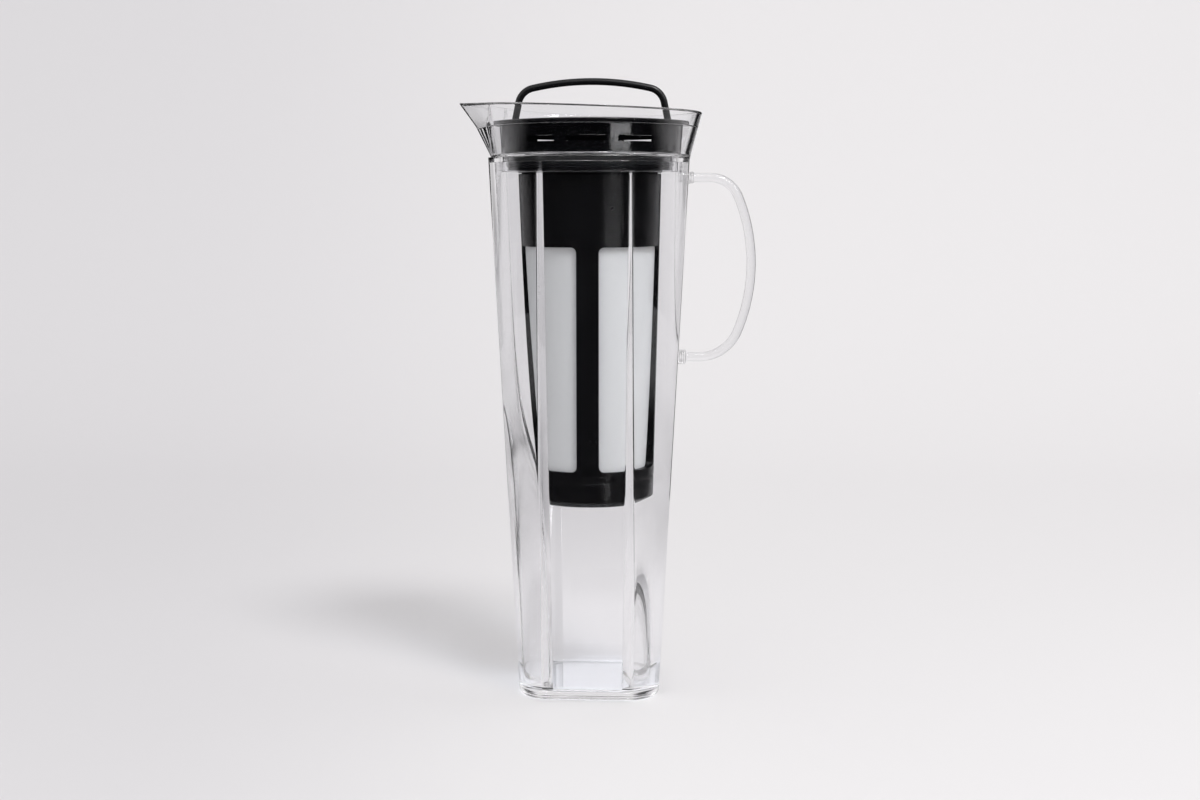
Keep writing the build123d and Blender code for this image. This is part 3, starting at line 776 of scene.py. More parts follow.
@dataclass
class ClearJug:
    """Clear body with its squared section, and the flared collar with the spout."""

    places: Places
    flat_at_foot: float = 34.45
    flat_behind_neck: float = 0.18
    wall: float = 2.3
    floor: float = 4.0
    flat_half: float = 21.5
    inside_half: Pair = (16.5, 20.0)
    crease: Pair = (14.0, 39.0)
    inside_crease: Pair = (33.5, 27.8)
    bend: float = 4.5
    inside_bend: float = 0.9
    foot_round: float = 3.5
    floor_round: float = 3.0
    shoulder: float = 0.3
    bore_radius: float = 43.3
    skirt_wall: float = 2.0
    skirt_clearance: float = 0.3
    skirt_depth: float = 7.4
    seam: float = 0.03
    ledge: float = 1.8
    collar_flare: float = 14.8
    collar_low_wall: float = 2.9
    collar_wall: float = 2.5
    step_rise: float = 15.3
    rim_rise: float = 22.1
    rim_curve: float = 1476.0
    rim_round: float = 0.7
    spout_angle: Pair = (10.0, 28.2)
    spout_shoulder: float = 30.0
    spout_tips: Pair = (3.0, 1.2)
    corner_ease: float = 0.25
    levels: int = 36
    foot_steps: int = 8
    shoulder_steps: int = 10
    collar_steps: int = 75
    spout_steps: int = 8
    line_steps: int = 6
    tip_steps: int = 6
    rim_steps: int = 5

    def between(self, ends: Pair, z: float) -> float:
        """A size that changes evenly from the foot to the neck."""
        return ends[0] + (ends[1] - ends[0]) * z / self.places.neck_z

    def flat_distance(self, z: float) -> float:
        """Distance from the axis to the outside of a flat."""
        return self.between((self.flat_at_foot, self.places.neck_radius - self.flat_behind_neck), z)

    def outside(self, z: float, inset: float = 0.0) -> SquaredSection:
        """Outside of the wall at a height."""
        flat, crease = self.flat_distance(z) - inset, self.between(self.crease, z)
        return SquaredSection(flat, self.flat_half, crease, self.bend)

    def inside(self, z: float, inset: float = 0.0) -> SquaredSection:
        """Inside of the wall at a height."""
        half, crease = self.between(self.inside_half, z), self.between(self.inside_crease, z)
        return SquaredSection(self.flat_distance(z) - self.wall - inset, half, crease, self.inside_bend)

    def wall_rings(
        self, section: Callable[..., SquaredSection], ends: Pair, rounding: float, neck: float
    ) -> list[Ring]:
        """Rings of one side of the wall, from its rounded foot to the round neck.

        Args:
            section: The wall's section at a height and inset.
            ends: Height of the foot and of the neck.
            rounding: Radius of the foot's round.
            neck: Radius of the neck.

        Returns:
            The rings from the bottom up.
        """
        low, high = ends
        rings = []
        for turn in spread(0.0, RIGHT_ANGLE, self.foot_steps)[:-1]:
            z = low + rounding * (1 - math.cos(turn))
            rings.append(section(z, rounding * (1 - math.sin(turn))).ring(z))
        for z in spread(low + rounding, high - self.shoulder, self.levels):
            rings.append(section(z).ring(z))
        for rise in spread(0.0, 1.0, self.shoulder_steps)[1:]:
            z = high - self.shoulder * (1 - rise)
            rings.append(blend_to_circle(section(z).ring(z), neck, rise * rise * (3 - 2 * rise)))
        return rings

    def make_body(self) -> None:
        """Thick-floored body that closes in to a round neck."""
        top = self.places.neck_z
        bore = self.bore_radius + self.skirt_wall + self.skirt_clearance
        outer = self.wall_rings(self.outside, (0.0, top), self.foot_round, self.places.neck_radius)
        inner = self.wall_rings(self.inside, (self.floor, top - self.wall), self.floor_round, bore)
        inner.append([Vector((*point.xy, top)) for point in inner[-1]])
        body = new_piece("clear_jug_body", skin(outer + inner[::-1]))
        finish_piece(body, CLEAR_BODY, Body.JUG, "jug_body", sharp=40.0)

    def collar_radius(self, z: float) -> float:
        """Outside radius of the collar at a height."""
        return self.places.neck_radius + math.tan(math.radians(self.collar_flare)) * (z - self.places.neck_z)

    def spout_outline(self, z: float, inset: float, tip: float) -> list[Pair]:
        """Circle drawn out to a rounded tip at -X, starting at +X.

        Args:
            z: Height of the outline.
            inset: Distance inside the collar's outer face.
            tip: Radius of the spout's tip.

        Returns:
            Points in the same order at every height.
        """
        radius = self.collar_radius(z) - inset
        low, high = self.spout_angle
        angle = math.radians(low + (high - low) * (z - self.places.neck_z) / self.rim_rise)
        centre = (radius - tip) / math.cos(angle)
        shoulder = math.pi - math.radians(self.spout_shoulder)
        turns = spread(0.0, shoulder, self.collar_steps)[:-1]
        turns += spread(shoulder, math.pi - angle, self.spout_steps)
        half = [(radius * math.cos(turn), radius * math.sin(turn)) for turn in turns]
        tip_side = (-centre - tip * math.cos(angle), tip * math.sin(angle))
        x_line, y_line = (spread(*ends, self.line_steps)[1:-1] for ends in zip(half[-1], tip_side))
        half += zip(x_line, y_line)
        turns = spread(angle, 0.0, self.tip_steps)
        half += [(-centre - tip * math.cos(turn), tip * math.sin(turn)) for turn in turns]
        return half + [(x, -y) for x, y in half[-2:0:-1]]

    def rim_height(self, x: float) -> float:
        """Height of the rim, which is lowest at the handle and rises towards the spout."""
        low = self.places.neck_z + self.rim_rise
        return low + (self.collar_radius(low) - x) ** 2 / (2 * self.rim_curve)

    def level_ring(self, z: float, inset: float, tip: float) -> Ring:
        """Level ring of the collar."""
        return [Vector((x, y, z)) for x, y in self.spout_outline(z, inset, tip)]

    def round_ring(self, z: float, radius: float) -> Ring:
        """Circle with a point in the same direction as each point of the collar's outline."""
        return blend_to_circle(self.level_ring(z, 0.0, self.spout_tips[0]), radius, 1.0)

    def rim_ring(self, drop: float, inset: float, tip: float) -> Ring:
        """Ring that follows the rim.

        Args:
            drop: How far below the rim it stays.
            inset: Distance inside the collar's outer face.
            tip: Radius of the spout's tip.

        Returns:
            Its points, each moved until it lies both on the flared face and below the curved rim.
        """
        points = []
        for number in range(len(self.spout_outline(self.places.neck_z, inset, tip))):
            z = self.places.neck_z + self.rim_rise
            for _ in range(4):
                x, y = self.spout_outline(z, inset, tip)[number]
                z = self.rim_height(x) - drop
            points.append(Vector((x, y, z)))
        return points

    def make_collar(self) -> None:
        """Flared collar with its spout, inner step, ledge for the lid and skirt."""
        neck = self.places.neck_z
        base, ledge, step = neck + self.seam, neck + self.ledge, neck + self.step_rise
        skirt_low, skirt_radius = neck - self.skirt_depth, self.bore_radius + self.skirt_wall
        wall, low_wall, bore = self.collar_wall, self.collar_low_wall, self.bore_radius
        ease, lip = self.corner_ease, self.rim_round
        tip, tip_inside = self.spout_tips
        rings = [self.round_ring(base, skirt_radius), self.level_ring(base, ease, tip)]
        rings += [self.level_ring(z, 0.0, tip) for z in (base + ease, ledge, step)]
        turns = spread(0.0, RIGHT_ANGLE, self.rim_steps)
        rings += [self.rim_ring(lip * (1 - math.sin(a)), lip * (1 - math.cos(a)), tip) for a in turns]
        for turn in turns:
            inset = wall - lip * (1 - math.sin(turn))
            rings.append(self.rim_ring(lip * (1 - math.cos(turn)), inset, tip_inside))
        inside = (
            (step + ease, wall),
            (step, wall + ease / 2),
            (step, low_wall - ease / 2),
            (step - ease, low_wall),
            (ledge + ease, low_wall),
            (ledge, low_wall + ease),
        )
        rings += [self.level_ring(z, inset, tip_inside) for z, inset in inside]
        skirt = (
            (ledge, bore + ease),
            (ledge - ease, bore),
            (skirt_low + ease, bore),
            (skirt_low, bore + ease),
            (skirt_low, skirt_radius - ease),
            (skirt_low + ease, skirt_radius),
        )
        rings += [self.round_ring(z, radius) for z, radius in skirt]
        collar = new_piece("clear_pour_collar", skin(rings, endless=True))
        finish_piece(collar, CLEAR_BODY, Body.JUG, "pour_collar", sharp=40.0)

    def make(self) -> None:
        """Builds the body and the collar."""
        self.make_body()
        self.make_collar()


@dataclass
class ClearHandle:
    """Clear rod in a D loop with a ringed boss on each arm."""

    places: Places
    jug: ClearJug
    rod_diameter: float = 4.5
    rod_sides: int = 40
    arm_below_neck: float = 9.5
    arm_spread: float = 88.4
    arm_length: float = 10.5
    bends: Pair = (15.0, 20.5)
    bend_turn: float = 67.5
    upper_boss: tuple[float, float, int] = (6.0, 2.4, 3)
    lower_boss: tuple[float, float, int] = (7.4, 3.6, 4)
    groove: float = 0.5
    root_depth: float = 1.0
    wall_gap: float = 0.02

    def make(self) -> None:
        """Builds the rod with its bosses as the one moulding that they are."""
        turn = math.radians(self.bend_turn)
        upper_z = self.places.neck_z - self.arm_below_neck
        upper_x = self.jug.flat_distance(upper_z)
        path = RodPath(Station(upper_x, upper_z, 0.0, self.rod_diameter / 2))
        path.straight(self.arm_length, steps=4)
        path.bend(self.bends[0], -turn, steps=16)
        rest = self.arm_spread - sum(self.bends) * (1 - math.cos(turn))
        path.bend(rest / (2 * math.cos(turn)), 2 * turn - math.pi, steps=24)
        path.bend(self.bends[1], -turn, steps=18)
        end = path.stations[-1]
        lower_x = self.jug.flat_distance(end.z)
        path.straight(end.x - lower_x, steps=4)
        middle_z = (upper_z + end.z) / 2
        clear_x = (lower_x + self.lower_boss[1], upper_x + self.upper_boss[1])
        rod = [station for station in path.stations if station.x > clear_x[station.z > middle_z]]
        upper = self.boss_stations(Station(upper_x, upper_z, 0.0, 0.0), self.upper_boss)
        lower = self.boss_stations(Station(lower_x, end.z, -math.pi, 0.0), self.lower_boss)
        bm = skin([station.ring(self.rod_sides) for station in upper + rod + lower[::-1]])
        self.trim_to_wall(bm)
        nodes = ("handle_rod", "handle_upper_boss", "handle_lower_boss")
        finish_piece(new_piece("clear_handle", bm), CLEAR_HANDLE, Body.JUG, *nodes, sharp=50.0)

    def boss_stations(self, root: Station, boss: tuple[float, float, int]) -> list[Station]:
        """Stations of a ringed boss.

        Args:
            root: Where the arm meets the wall.
            boss: Diameter, length and number of rings.

        Returns:
            The stations in order from the wall, the first of them inside it.
        """
        diameter, length, rings = boss
        outer = diameter / 2
        valley = outer - self.groove
        pitch = length / rings
        lip = pitch / 5
        profile = [(-self.root_depth, outer)]
        for ring in range(rings):
            steps = ((lip, outer), (pitch - 2 * lip, outer), (pitch - lip, valley), (pitch, valley))
            profile += [(ring * pitch + along, radius) for along, radius in steps]
        profile.append((length + lip, self.rod_diameter / 2))
        return [replace(root, x=root.x + along, radius=radius) for along, radius in profile]

    def trim_to_wall(self, bm: Shape) -> None:
        """Cuts the arms of the rod off where they meet the leaning wall.

        Args:
            bm: The rod, which is changed.
        """
        neck_z = self.places.neck_z
        foot, neck = (Vector((self.jug.flat_distance(z) + self.wall_gap, 0.0, z)) for z in (0.0, neck_z))
        up = (neck - foot).normalized()
        cut = bmesh.ops.bisect_plane(
            bm,
            geom=bm.verts[:] + bm.edges[:] + bm.faces[:],
            dist=TOUCH,
            plane_co=foot,
            plane_no=Vector((up.z, 0.0, -up.x)),
            clear_inner=True,
        )
        bmesh.ops.holes_fill(bm, edges=[item for item in cut["geom_cut"] if isinstance(item, Edge)], sides=0)
        close_outwards(bm)


# Black lid


@dataclass
class Lid:
    """Drum with pouring slots, domed cap, filter socket, gasket and pins."""

    places: Places
    drum_radius: Pair = (44.0, 45.0)
    drum_height: float = 13.5
    drum_wall: float = 2.2
    drum_floor: float = 2.0
    drum_rim: float = 0.3
    plug_depth: float = 8.6
    plug_inside: float = 39.0
    plug_wall: float = 2.0
    plug_lip: float = 0.9
    plug_lip_height: float = 1.2
    socket_ledge: float = 1.4
    socket_ledge_height: float = 1.0
    slot_low: float = 5.3
    slot_height: float = 2.7
    slot_depth: float = 5.0
    slot_overcut: float = 2.0
    slot_span: float = 24.8
    slot_angles: tuple[float, float, float] = (-32.0, 0.0, 32.0)
    stop_angles: Pair = (56.1, 65.5)
    stop_size: tuple[float, float, float] = (0.8, 1.4, 3.0)
    stop_low: float = 1.3
    stop_round: float = 0.25
    cap_edge: float = 1.9
    cap_edge_ease: float = 0.4
    cap_thickness: float = 2.0
    cap_rim: float = 0.35
    spigot_depth: float = 2.7
    spigot_wall: float = 1.6
    spigot_clearance: float = 0.2
    bail_half_span: float = 38.0
    well_x: float = 37.51
    well_half_length: float = 9.8
    well_width: float = 5.777
    well_floor: float = 2.8
    boss_end: float = 1.4
    boss_floor: float = 1.2
    boss_below_edge: float = 1.0
    pin_radius: float = 1.2
    pin_length: float = 8.377
    pin_round: float = 0.2
    socket_bore: float = 31.8
    socket_wall: float = 2.5
    socket_plate: float = 2.0
    socket_drop: float = 1.0
    socket_rise: float = 9.9
    socket_roof: float = 2.0
    socket_rim: float = 0.2
    socket_clearance: float = 0.1
    pour_slots: int = 12
    pour_slot_span: float = 22.0
    pour_slot_margin: float = 0.9
    seal_rise: float = 3.4
    seal_height: float = 2.0
    seal_wall: float = 1.0
    seal_clearance: float = 0.3
    gasket_wall: float = 0.7
    gasket_clearance: float = 0.3
    gasket_reach: Pair = (0.9, 0.5)
    gasket_rise: Pair = (1.5, 3.9)
    gasket_lip: float = 0.9

    @property
    def ledge_z(self) -> float:
        """Height of the ledge that carries the drum."""
        return self.places.plug_bottom + self.plug_depth

    @property
    def drum_top(self) -> float:
        """Height where the cap sits on the drum."""
        return self.ledge_z + self.drum_height

    @property
    def plug_radius(self) -> float:
        """Outside radius of the plug."""
        return self.plug_inside + self.plug_wall

    @property
    def socket_seat(self) -> float:
        """Height of the ledge that carries the socket's plate."""
        return self.places.plug_bottom + self.socket_ledge_height

    def drum_inside(self, z: float) -> float:
        """Inside radius of the drum's skirt at a height."""
        low, high = self.drum_radius
        return low + (high - low) * (z - self.ledge_z) / self.drum_height - self.drum_wall

    def make_drum(self) -> None:
        """Skirt with its slots and stop ribs, and the plug wall under it."""
        low, high = self.drum_radius
        bottom, seat, ledge, top = self.places.plug_bottom, self.socket_seat, self.ledge_z, self.drum_top
        floor = ledge + self.drum_floor
        lip_z = bottom + self.plug_lip_height
        outline = [
            (low, ledge),
            (high, top),
            (self.drum_inside(top), top),
            (self.drum_inside(floor), floor),
            (self.plug_inside, floor),
            (self.plug_inside, seat),
            (self.plug_inside - self.socket_ledge, seat),
            (self.plug_inside - self.socket_ledge, bottom),
            (self.plug_radius + self.plug_lip, bottom),
            (self.plug_radius + self.plug_lip, lip_z),
            (self.plug_radius, lip_z),
            (self.plug_radius, ledge),
        ]
        drum = lathe("lid_drum_shell", outline, easing=0.25, steps=256)
        radii = (low - self.slot_depth, high + self.slot_overcut)
        heights = (ledge + self.slot_low, ledge + self.slot_low + self.slot_height)
        middles = [side + angle for side in (0, 180) for angle in self.slot_angles]
        carve(drum, [ring_sector(radii, heights, middle, self.slot_span) for middle in middles])
        ease_rims(drum, self.drum_rim)
        ribs = [self.stop_rib(side + angle) for side in (0, 180) for angle in self.stop_angles]
        carve(drum, ribs, "UNION")
        finish_piece(drum, LID_GLOSS, Body.LID, "lid_drum")

    def stop_rib(self, angle: float) -> Shape:
        """Short upright rib low on the drum.

        Args:
            angle: Where it stands, in degrees from the front.

        Returns:
            The rib, with the edges of its outer face rounded.
        """
        proud, width, height = self.stop_size
        radius = self.drum_radius[0]
        low = self.ledge_z + self.stop_low
        rib = block((radius - self.drum_wall / 2, -width / 2), (radius + proud, width / 2), low, low + height)

        def on_face(edge: Edge) -> bool:
            """Whether an edge lies on the rib's outer face."""
            return all(vert.co.x > radius for vert in edge.verts)

        round_edges(rib, on_face, self.stop_round, segments=2)
        return turn_round(rib, angle - 90)

    def make_cap(self) -> None:
        """Domed cap with a spigot in the drum and a well on each side for the bail."""
        top, radius = self.places.cap_top, self.places.cap_radius
        edge = radius - self.cap_edge_ease
        edge_top = self.drum_top + self.cap_edge + self.cap_edge_ease
        spigot_low = self.drum_top - self.spigot_depth
        spigot = self.drum_inside(spigot_low) - self.spigot_clearance
        hollow = spigot - self.spigot_wall
        crown = top - edge_top
        sphere = (edge * edge + crown * crown) / (2 * crown)

        def dome(radii: list[float], depth: float) -> list[Pair]:
            """Points of the shallow dome at these radii, at a depth under its outside."""
            middle_z = top - sphere - depth
            return [(r, middle_z + math.sqrt(sphere * sphere - r * r)) for r in radii]

        outline = [
            (spigot, spigot_low),
            (spigot, self.drum_top),
            (radius, self.drum_top),
            (radius, edge_top - self.cap_edge_ease),
            (edge, edge_top),
            *dome(spread(edge, 0.0, 10)[1:], 0.0),
            *dome(spread(0.0, hollow, 6), self.cap_thickness),
            (hollow, spigot_low),
        ]
        cap = lathe("lid_domed_cap", outline, easing=0.2, steps=256)
        boss_top = edge_top - self.boss_below_edge
        bosses = [self.well_block(side, self.boss_end, self.boss_floor, boss_top) for side in (1, -1)]
        carve(cap, bosses, "UNION")
        carve(cap, [self.well_block(side, 0.0, 0.0, top + OVERCUT) for side in (1, -1)])
        ease_rims(cap, self.cap_rim)
        finish_piece(cap, LID_GLOSS, Body.LID, "lid_cap")

    def well_block(self, side: int, border: float, floor: float, top: float) -> Shape:
        """Block of the bail's well, or of the boss round it.

        Args:
            side: 1 at +X and -1 at -X.
            border: How much wider than the well it is on each side.
            floor: How much deeper it is.
            top: Its highest point.

        Returns:
            The block.
        """
        low = self.places.pivot_z - self.well_floor - floor
        half_x = self.well_width / 2 + border
        half_y = self.well_half_length + border
        if border:
            corner = math.sqrt(self.drum_inside(low) ** 2 - (self.well_x + half_x) ** 2)
            half_y = min(half_y, corner - border)
        middle = side * self.well_x
        return block((middle - half_x, -half_y), (middle + half_x, half_y), low, top)

    def make_pins(self) -> None:
        """Turned pin through each foot of the bail."""
        bm = bmesh.new()
        for side in (-1, 1):
            add_axle(bm, side * self.well_x, self.places.pivot_z, self.pin_radius, self.pin_length, sides=32)
        round_edges(bm, is_rim, self.pin_round, segments=2)
        finish_piece(new_piece("bail_pins", bm), PIN_STEEL, Body.LID, "bail_pivot_pins")

    def make_socket(self) -> None:
        """Plate with a ring of pouring slots round the socket for the filter's neck."""
        bore, seat = self.socket_bore, self.socket_seat
        outer = bore + self.socket_wall
        rim = self.plug_inside - self.socket_clearance
        low = seat - self.socket_drop - self.socket_ledge_height
        plate = seat + self.socket_plate
        high = plate + self.socket_rise
        groove = bore + self.seal_wall + self.seal_clearance
        groove_low = seat + self.seal_rise
        groove_high = groove_low + self.seal_height + 2 * self.seal_clearance
        outline = [
            (bore, low),
            (outer, low),
            (outer, seat),
            (rim, seat),
            (rim, plate),
            (outer, plate),
            (outer, high),
            (0, high),
            (0, high - self.socket_roof),
            (bore, high - self.socket_roof),
            (bore, groove_high),
            (groove, groove_high),
            (groove, groove_low),
            (bore, groove_low),
        ]
        socket = lathe("lid_socket_plate", outline, easing=0.2)
        radii = (outer + self.pour_slot_margin, rim - self.socket_ledge)
        angles = spread(0.0, 360.0, self.pour_slots)[:-1]
        heights = (seat - OVERCUT, plate + OVERCUT)
        carve(socket, [ring_sector(radii, heights, angle, self.pour_slot_span) for angle in angles])
        ease_rims(socket, self.socket_rim)
        finish_piece(socket, LID_GLOSS, Body.LID, "lid_filter_socket")

    def make_gasket(self) -> None:
        """Silicone sleeve with two thin lips."""
        inner = self.plug_radius + self.gasket_clearance
        outer = inner + self.gasket_wall
        low = self.places.plug_bottom + self.plug_lip_height + self.gasket_clearance
        high = self.ledge_z - self.gasket_clearance
        outline = [(inner, low), (outer, low)]
        for reach, rise in zip(self.gasket_reach, self.gasket_rise):
            for out, up in ((0, -1 / 2), (reach, -1 / 4), (reach, 1 / 4), (0, 1 / 2)):
                outline.append((outer + out, low + rise + up * self.gasket_lip))
        outline += [(outer, high), (inner, high)]
        gasket = lathe("lid_lip_gasket", outline, easing=0.12)
        finish_piece(gasket, SILICONE, Body.LID_SEAL, "lid_gasket")

    def make_neck_seal(self) -> None:
        """Square ring in the socket, round the filter's neck."""
        inner, outer = self.socket_bore, self.socket_bore + self.seal_wall
        low = self.socket_seat + self.seal_rise + self.seal_clearance
        high = low + self.seal_height
        outline = [(inner, low), (outer, low), (outer, high), (inner, high)]
        ring = lathe("filter_neck_ring", outline, easing=0.2)
        finish_piece(ring, SILICONE, Body.FILTER_SEAL, "filter_neck_seal")

    def make(self) -> None:
        """Builds the pieces of the lid."""
        self.make_drum()
        self.make_cap()
        self.make_pins()
        self.make_socket()
        self.make_gasket()
        self.make_neck_seal()


@dataclass
class Bail:
    """Bent black rod over the lid, with an eye at each foot."""

    lid: Lid
    diameter: float = 3.4
    rod_sides: int = 40
    rise: float = 21.05
    arch_radius: float = 132.0
    shoulder_radius: float = 9.0
    lean: float = 11.5
    eye_radius: float = 2.3
    eye_width: float = 3.0
    eye_round: float = 0.4
    pin_clearance: float = 0.05

    def make(self) -> None:
        """Builds the rod from its left foot to its right one."""
        leg, arch_angle = self.leg_and_arch()
        leg_angle = RIGHT_ANGLE - math.radians(self.lean)
        foot = Station(-self.lid.bail_half_span, self.lid.places.pivot_z, leg_angle, self.diameter / 2)
        path = RodPath(foot)
        path.straight(leg, steps=6)
        path.bend(self.shoulder_radius, arch_angle - leg_angle, steps=14)
        path.bend(self.arch_radius, -2 * arch_angle, steps=40)
        path.bend(self.shoulder_radius, arch_angle - leg_angle, steps=14)
        path.straight(leg, steps=6)
        rod = new_piece("lid_bail", skin([station.ring(self.rod_sides) for station in path.stations]))
        eyes = [self.cylinder(side, self.eye_radius, self.eye_width) for side in (-1, 1)]
        for eye in eyes:
            round_edges(eye, is_rim, self.eye_round, segments=3)
        carve(rod, eyes, "UNION")
        hole_radius = self.lid.pin_radius + self.pin_clearance
        carve(rod, [self.cylinder(side, hole_radius, 3 * self.eye_width) for side in (-1, 1)])
        finish_piece(rod, BAIL_COAT, Body.BAIL, "bail_handle", sharp=40.0)

    def leg_and_arch(self) -> Pair:
        """Length of the straight legs, and half the arch's angle in radians, that make the arcs tangent.

        Returns:
            The length and the angle.
        """
        lean = math.radians(self.lean)
        gap = self.arch_radius - self.shoulder_radius
        base_x = self.lid.bail_half_span - self.shoulder_radius * math.cos(lean)
        base_z = self.arch_radius - self.rise - self.shoulder_radius * math.sin(lean)
        along = -base_x * math.sin(lean) + base_z * math.cos(lean)
        leg = -along + math.sqrt(along * along - (base_x * base_x + base_z * base_z - gap * gap))
        return leg, math.asin((base_x - leg * math.sin(lean)) / gap)

    def cylinder(self, side: int, radius: float, width: float) -> Shape:
        """Cylinder along X round the pivot of one foot.

        Args:
            side: 1 for the foot at +X and -1 for the other.
            radius: Its radius.
            width: Its length along X.

        Returns:
            The cylinder.
        """
        bm = bmesh.new()
        add_axle(bm, side * self.lid.bail_half_span, self.lid.places.pivot_z, radius, width, sides=48)
        return bm


# Filter


@dataclass
class Filter:
    """Tapered black frame with four windows, its white mesh sleeve and the cap at its foot."""

    places: Places
    taper: float = 0.0157
    wall: float = 2.1
    neck_step: float = 2.35
    neck_wall: float = 2.0
    neck_height: float = 11.8
    neck_blend: float = 2.0
    frame_rim: float = 0.4
    cap_height: float = 12.5
    foot_band: float = 4.8
    window_below_top: float = 35.0
    window_corner: float = 2.75
    windows: int = 4
    rib_width: float = 10.75
    mesh_thickness: float = 0.4
    mesh_overlap: float = 3.0
    cap_gap: float = 0.3
    cap_wall: float = 2.0
    cap_chamfer: float = 2.3
    skirt_rise: float = 6.0
    skirt_wall: float = 1.5
    skirt_clearance: float = 0.35
    mark_angle: float = 21.5
    mark_width: float = 0.35
    mark_depth: float = 0.35

    @property
    def top(self) -> float:
        """Height of the frame's shoulder, below its neck."""
        return self.places.filter_neck_top - self.neck_height

    @property
    def parting(self) -> float:
        """Height where the frame meets the cap."""
        return self.places.filter_bottom + self.cap_height

    @property
    def window_low(self) -> float:
        """Height of the windows' lower edges."""
        return self.parting + self.foot_band

    @property
    def window_high(self) -> float:
        """Height of the windows' upper edges."""
        return self.top - self.window_below_top

    def radius(self, z: float) -> float:
        """Outside radius at a height."""
        return self.places.filter_radius - self.taper * (self.top - z)

    def make_frame(self) -> None:
        """Frame with its windows and the neck that enters the lid."""
        top, parting, neck_top = self.top, self.parting, self.places.filter_neck_top
        slide = self.places.filter_radius - self.neck_step
        shoulder = top - self.neck_blend
        blend_low = shoulder - self.neck_blend
        outline = [
            (self.radius(parting), parting),
            (self.places.filter_radius, top),
            (slide, top),
            (slide, neck_top),
            (slide - self.neck_wall, neck_top),
            (slide - self.neck_wall, shoulder),
            (self.radius(blend_low) - self.wall, blend_low),
            (self.radius(parting) - self.wall, parting),
        ]
        frame = lathe("filter_window_frame", outline, easing=0.35, steps=256)
        angles = spread(0.0, 360.0, self.windows)[:-1]
        carve(frame, [turn_round(self.window_block(), angle) for angle in angles])
        ease_rims(frame, self.frame_rim)
        finish_piece(frame, FILTER_SATIN, Body.FILTER, "filter_frame")

    def window_block(self) -> Shape:
        """Block that cuts a window between two ribs, with round corners next to the ribs.

        Returns:
            The block.
        """
        side = self.rib_width / 2
        reach = 2 * self.places.filter_radius
        bm = block((side, side), (reach, reach), self.window_low, self.window_high)

        def beside_rib(edge: Edge) -> bool:
            """Whether a level edge lies against a rib.

            Args:
                edge: An edge of the block.

            Returns:
                True if it lies level and against a rib.
            """
            first, second = (vert.co for vert in edge.verts)
            level = abs(first.z - second.z) < TOUCH
            return level and any(max(first[axis], second[axis]) < side + TOUCH for axis in (0, 1))

        round_edges(bm, beside_rib, self.window_corner, segments=8)
        return bm

    def make_mesh(self) -> None:
        """Mesh sleeve inside the frame."""
        low, high = self.parting + self.cap_gap, self.window_high + self.mesh_overlap
        outside = [(self.radius(z) - self.wall, z) for z in (low, high)]
        inside = [(radius - self.mesh_thickness, z) for radius, z in outside]
        sleeve = lathe("filter_mesh_sleeve", outside + inside[::-1], easing=0.05)
        finish_piece(sleeve, NYLON, Body.FILTER, "filter_mesh")

    def make_cap(self) -> None:
        """Cup at the foot, with a skirt inside the sleeve and a fine upright mark on its side."""
        bottom, top = self.places.filter_bottom, self.parting - self.cap_gap
        skirt = self.radius(top) - self.wall - self.mesh_thickness - self.skirt_clearance
        skirt_top = self.window_low + self.skirt_rise
        low = self.radius(bottom)
        outline = [
            (0, bottom),
            (low - self.cap_chamfer, bottom),
            (low, bottom + self.cap_chamfer),
            (self.radius(top), top),
            (skirt, top),
            (skirt, skirt_top),
            (skirt - self.skirt_wall, skirt_top),
            (skirt - self.skirt_wall, bottom + self.cap_wall),
            (0, bottom + self.cap_wall),
        ]
        cap = lathe("filter_foot_cap", outline, easing=0.5, steps=256)
        half = self.mark_width / 2
        ends = ((low - self.mark_depth, -half), (low + OVERCUT, half))
        mark = block(*ends, bottom + self.cap_chamfer, top + OVERCUT)
        carve(cap, [turn_round(mark, self.mark_angle - 90)])
        finish_piece(cap, FILTER_SATIN, Body.FILTER_FOOT, "filter_cap")

    def make(self) -> None:
        """Builds the pieces of the filter."""
        self.make_frame()
        self.make_mesh()
        self.make_cap()


# Studio


@dataclass(frozen=True)
class Softbox:
    """Rectangular lamp. Lengths are metres."""

    place: tuple[float, float, float]
    size: Pair
    watts: float
    roll: float = 0.0
    lights_surfaces: bool = False


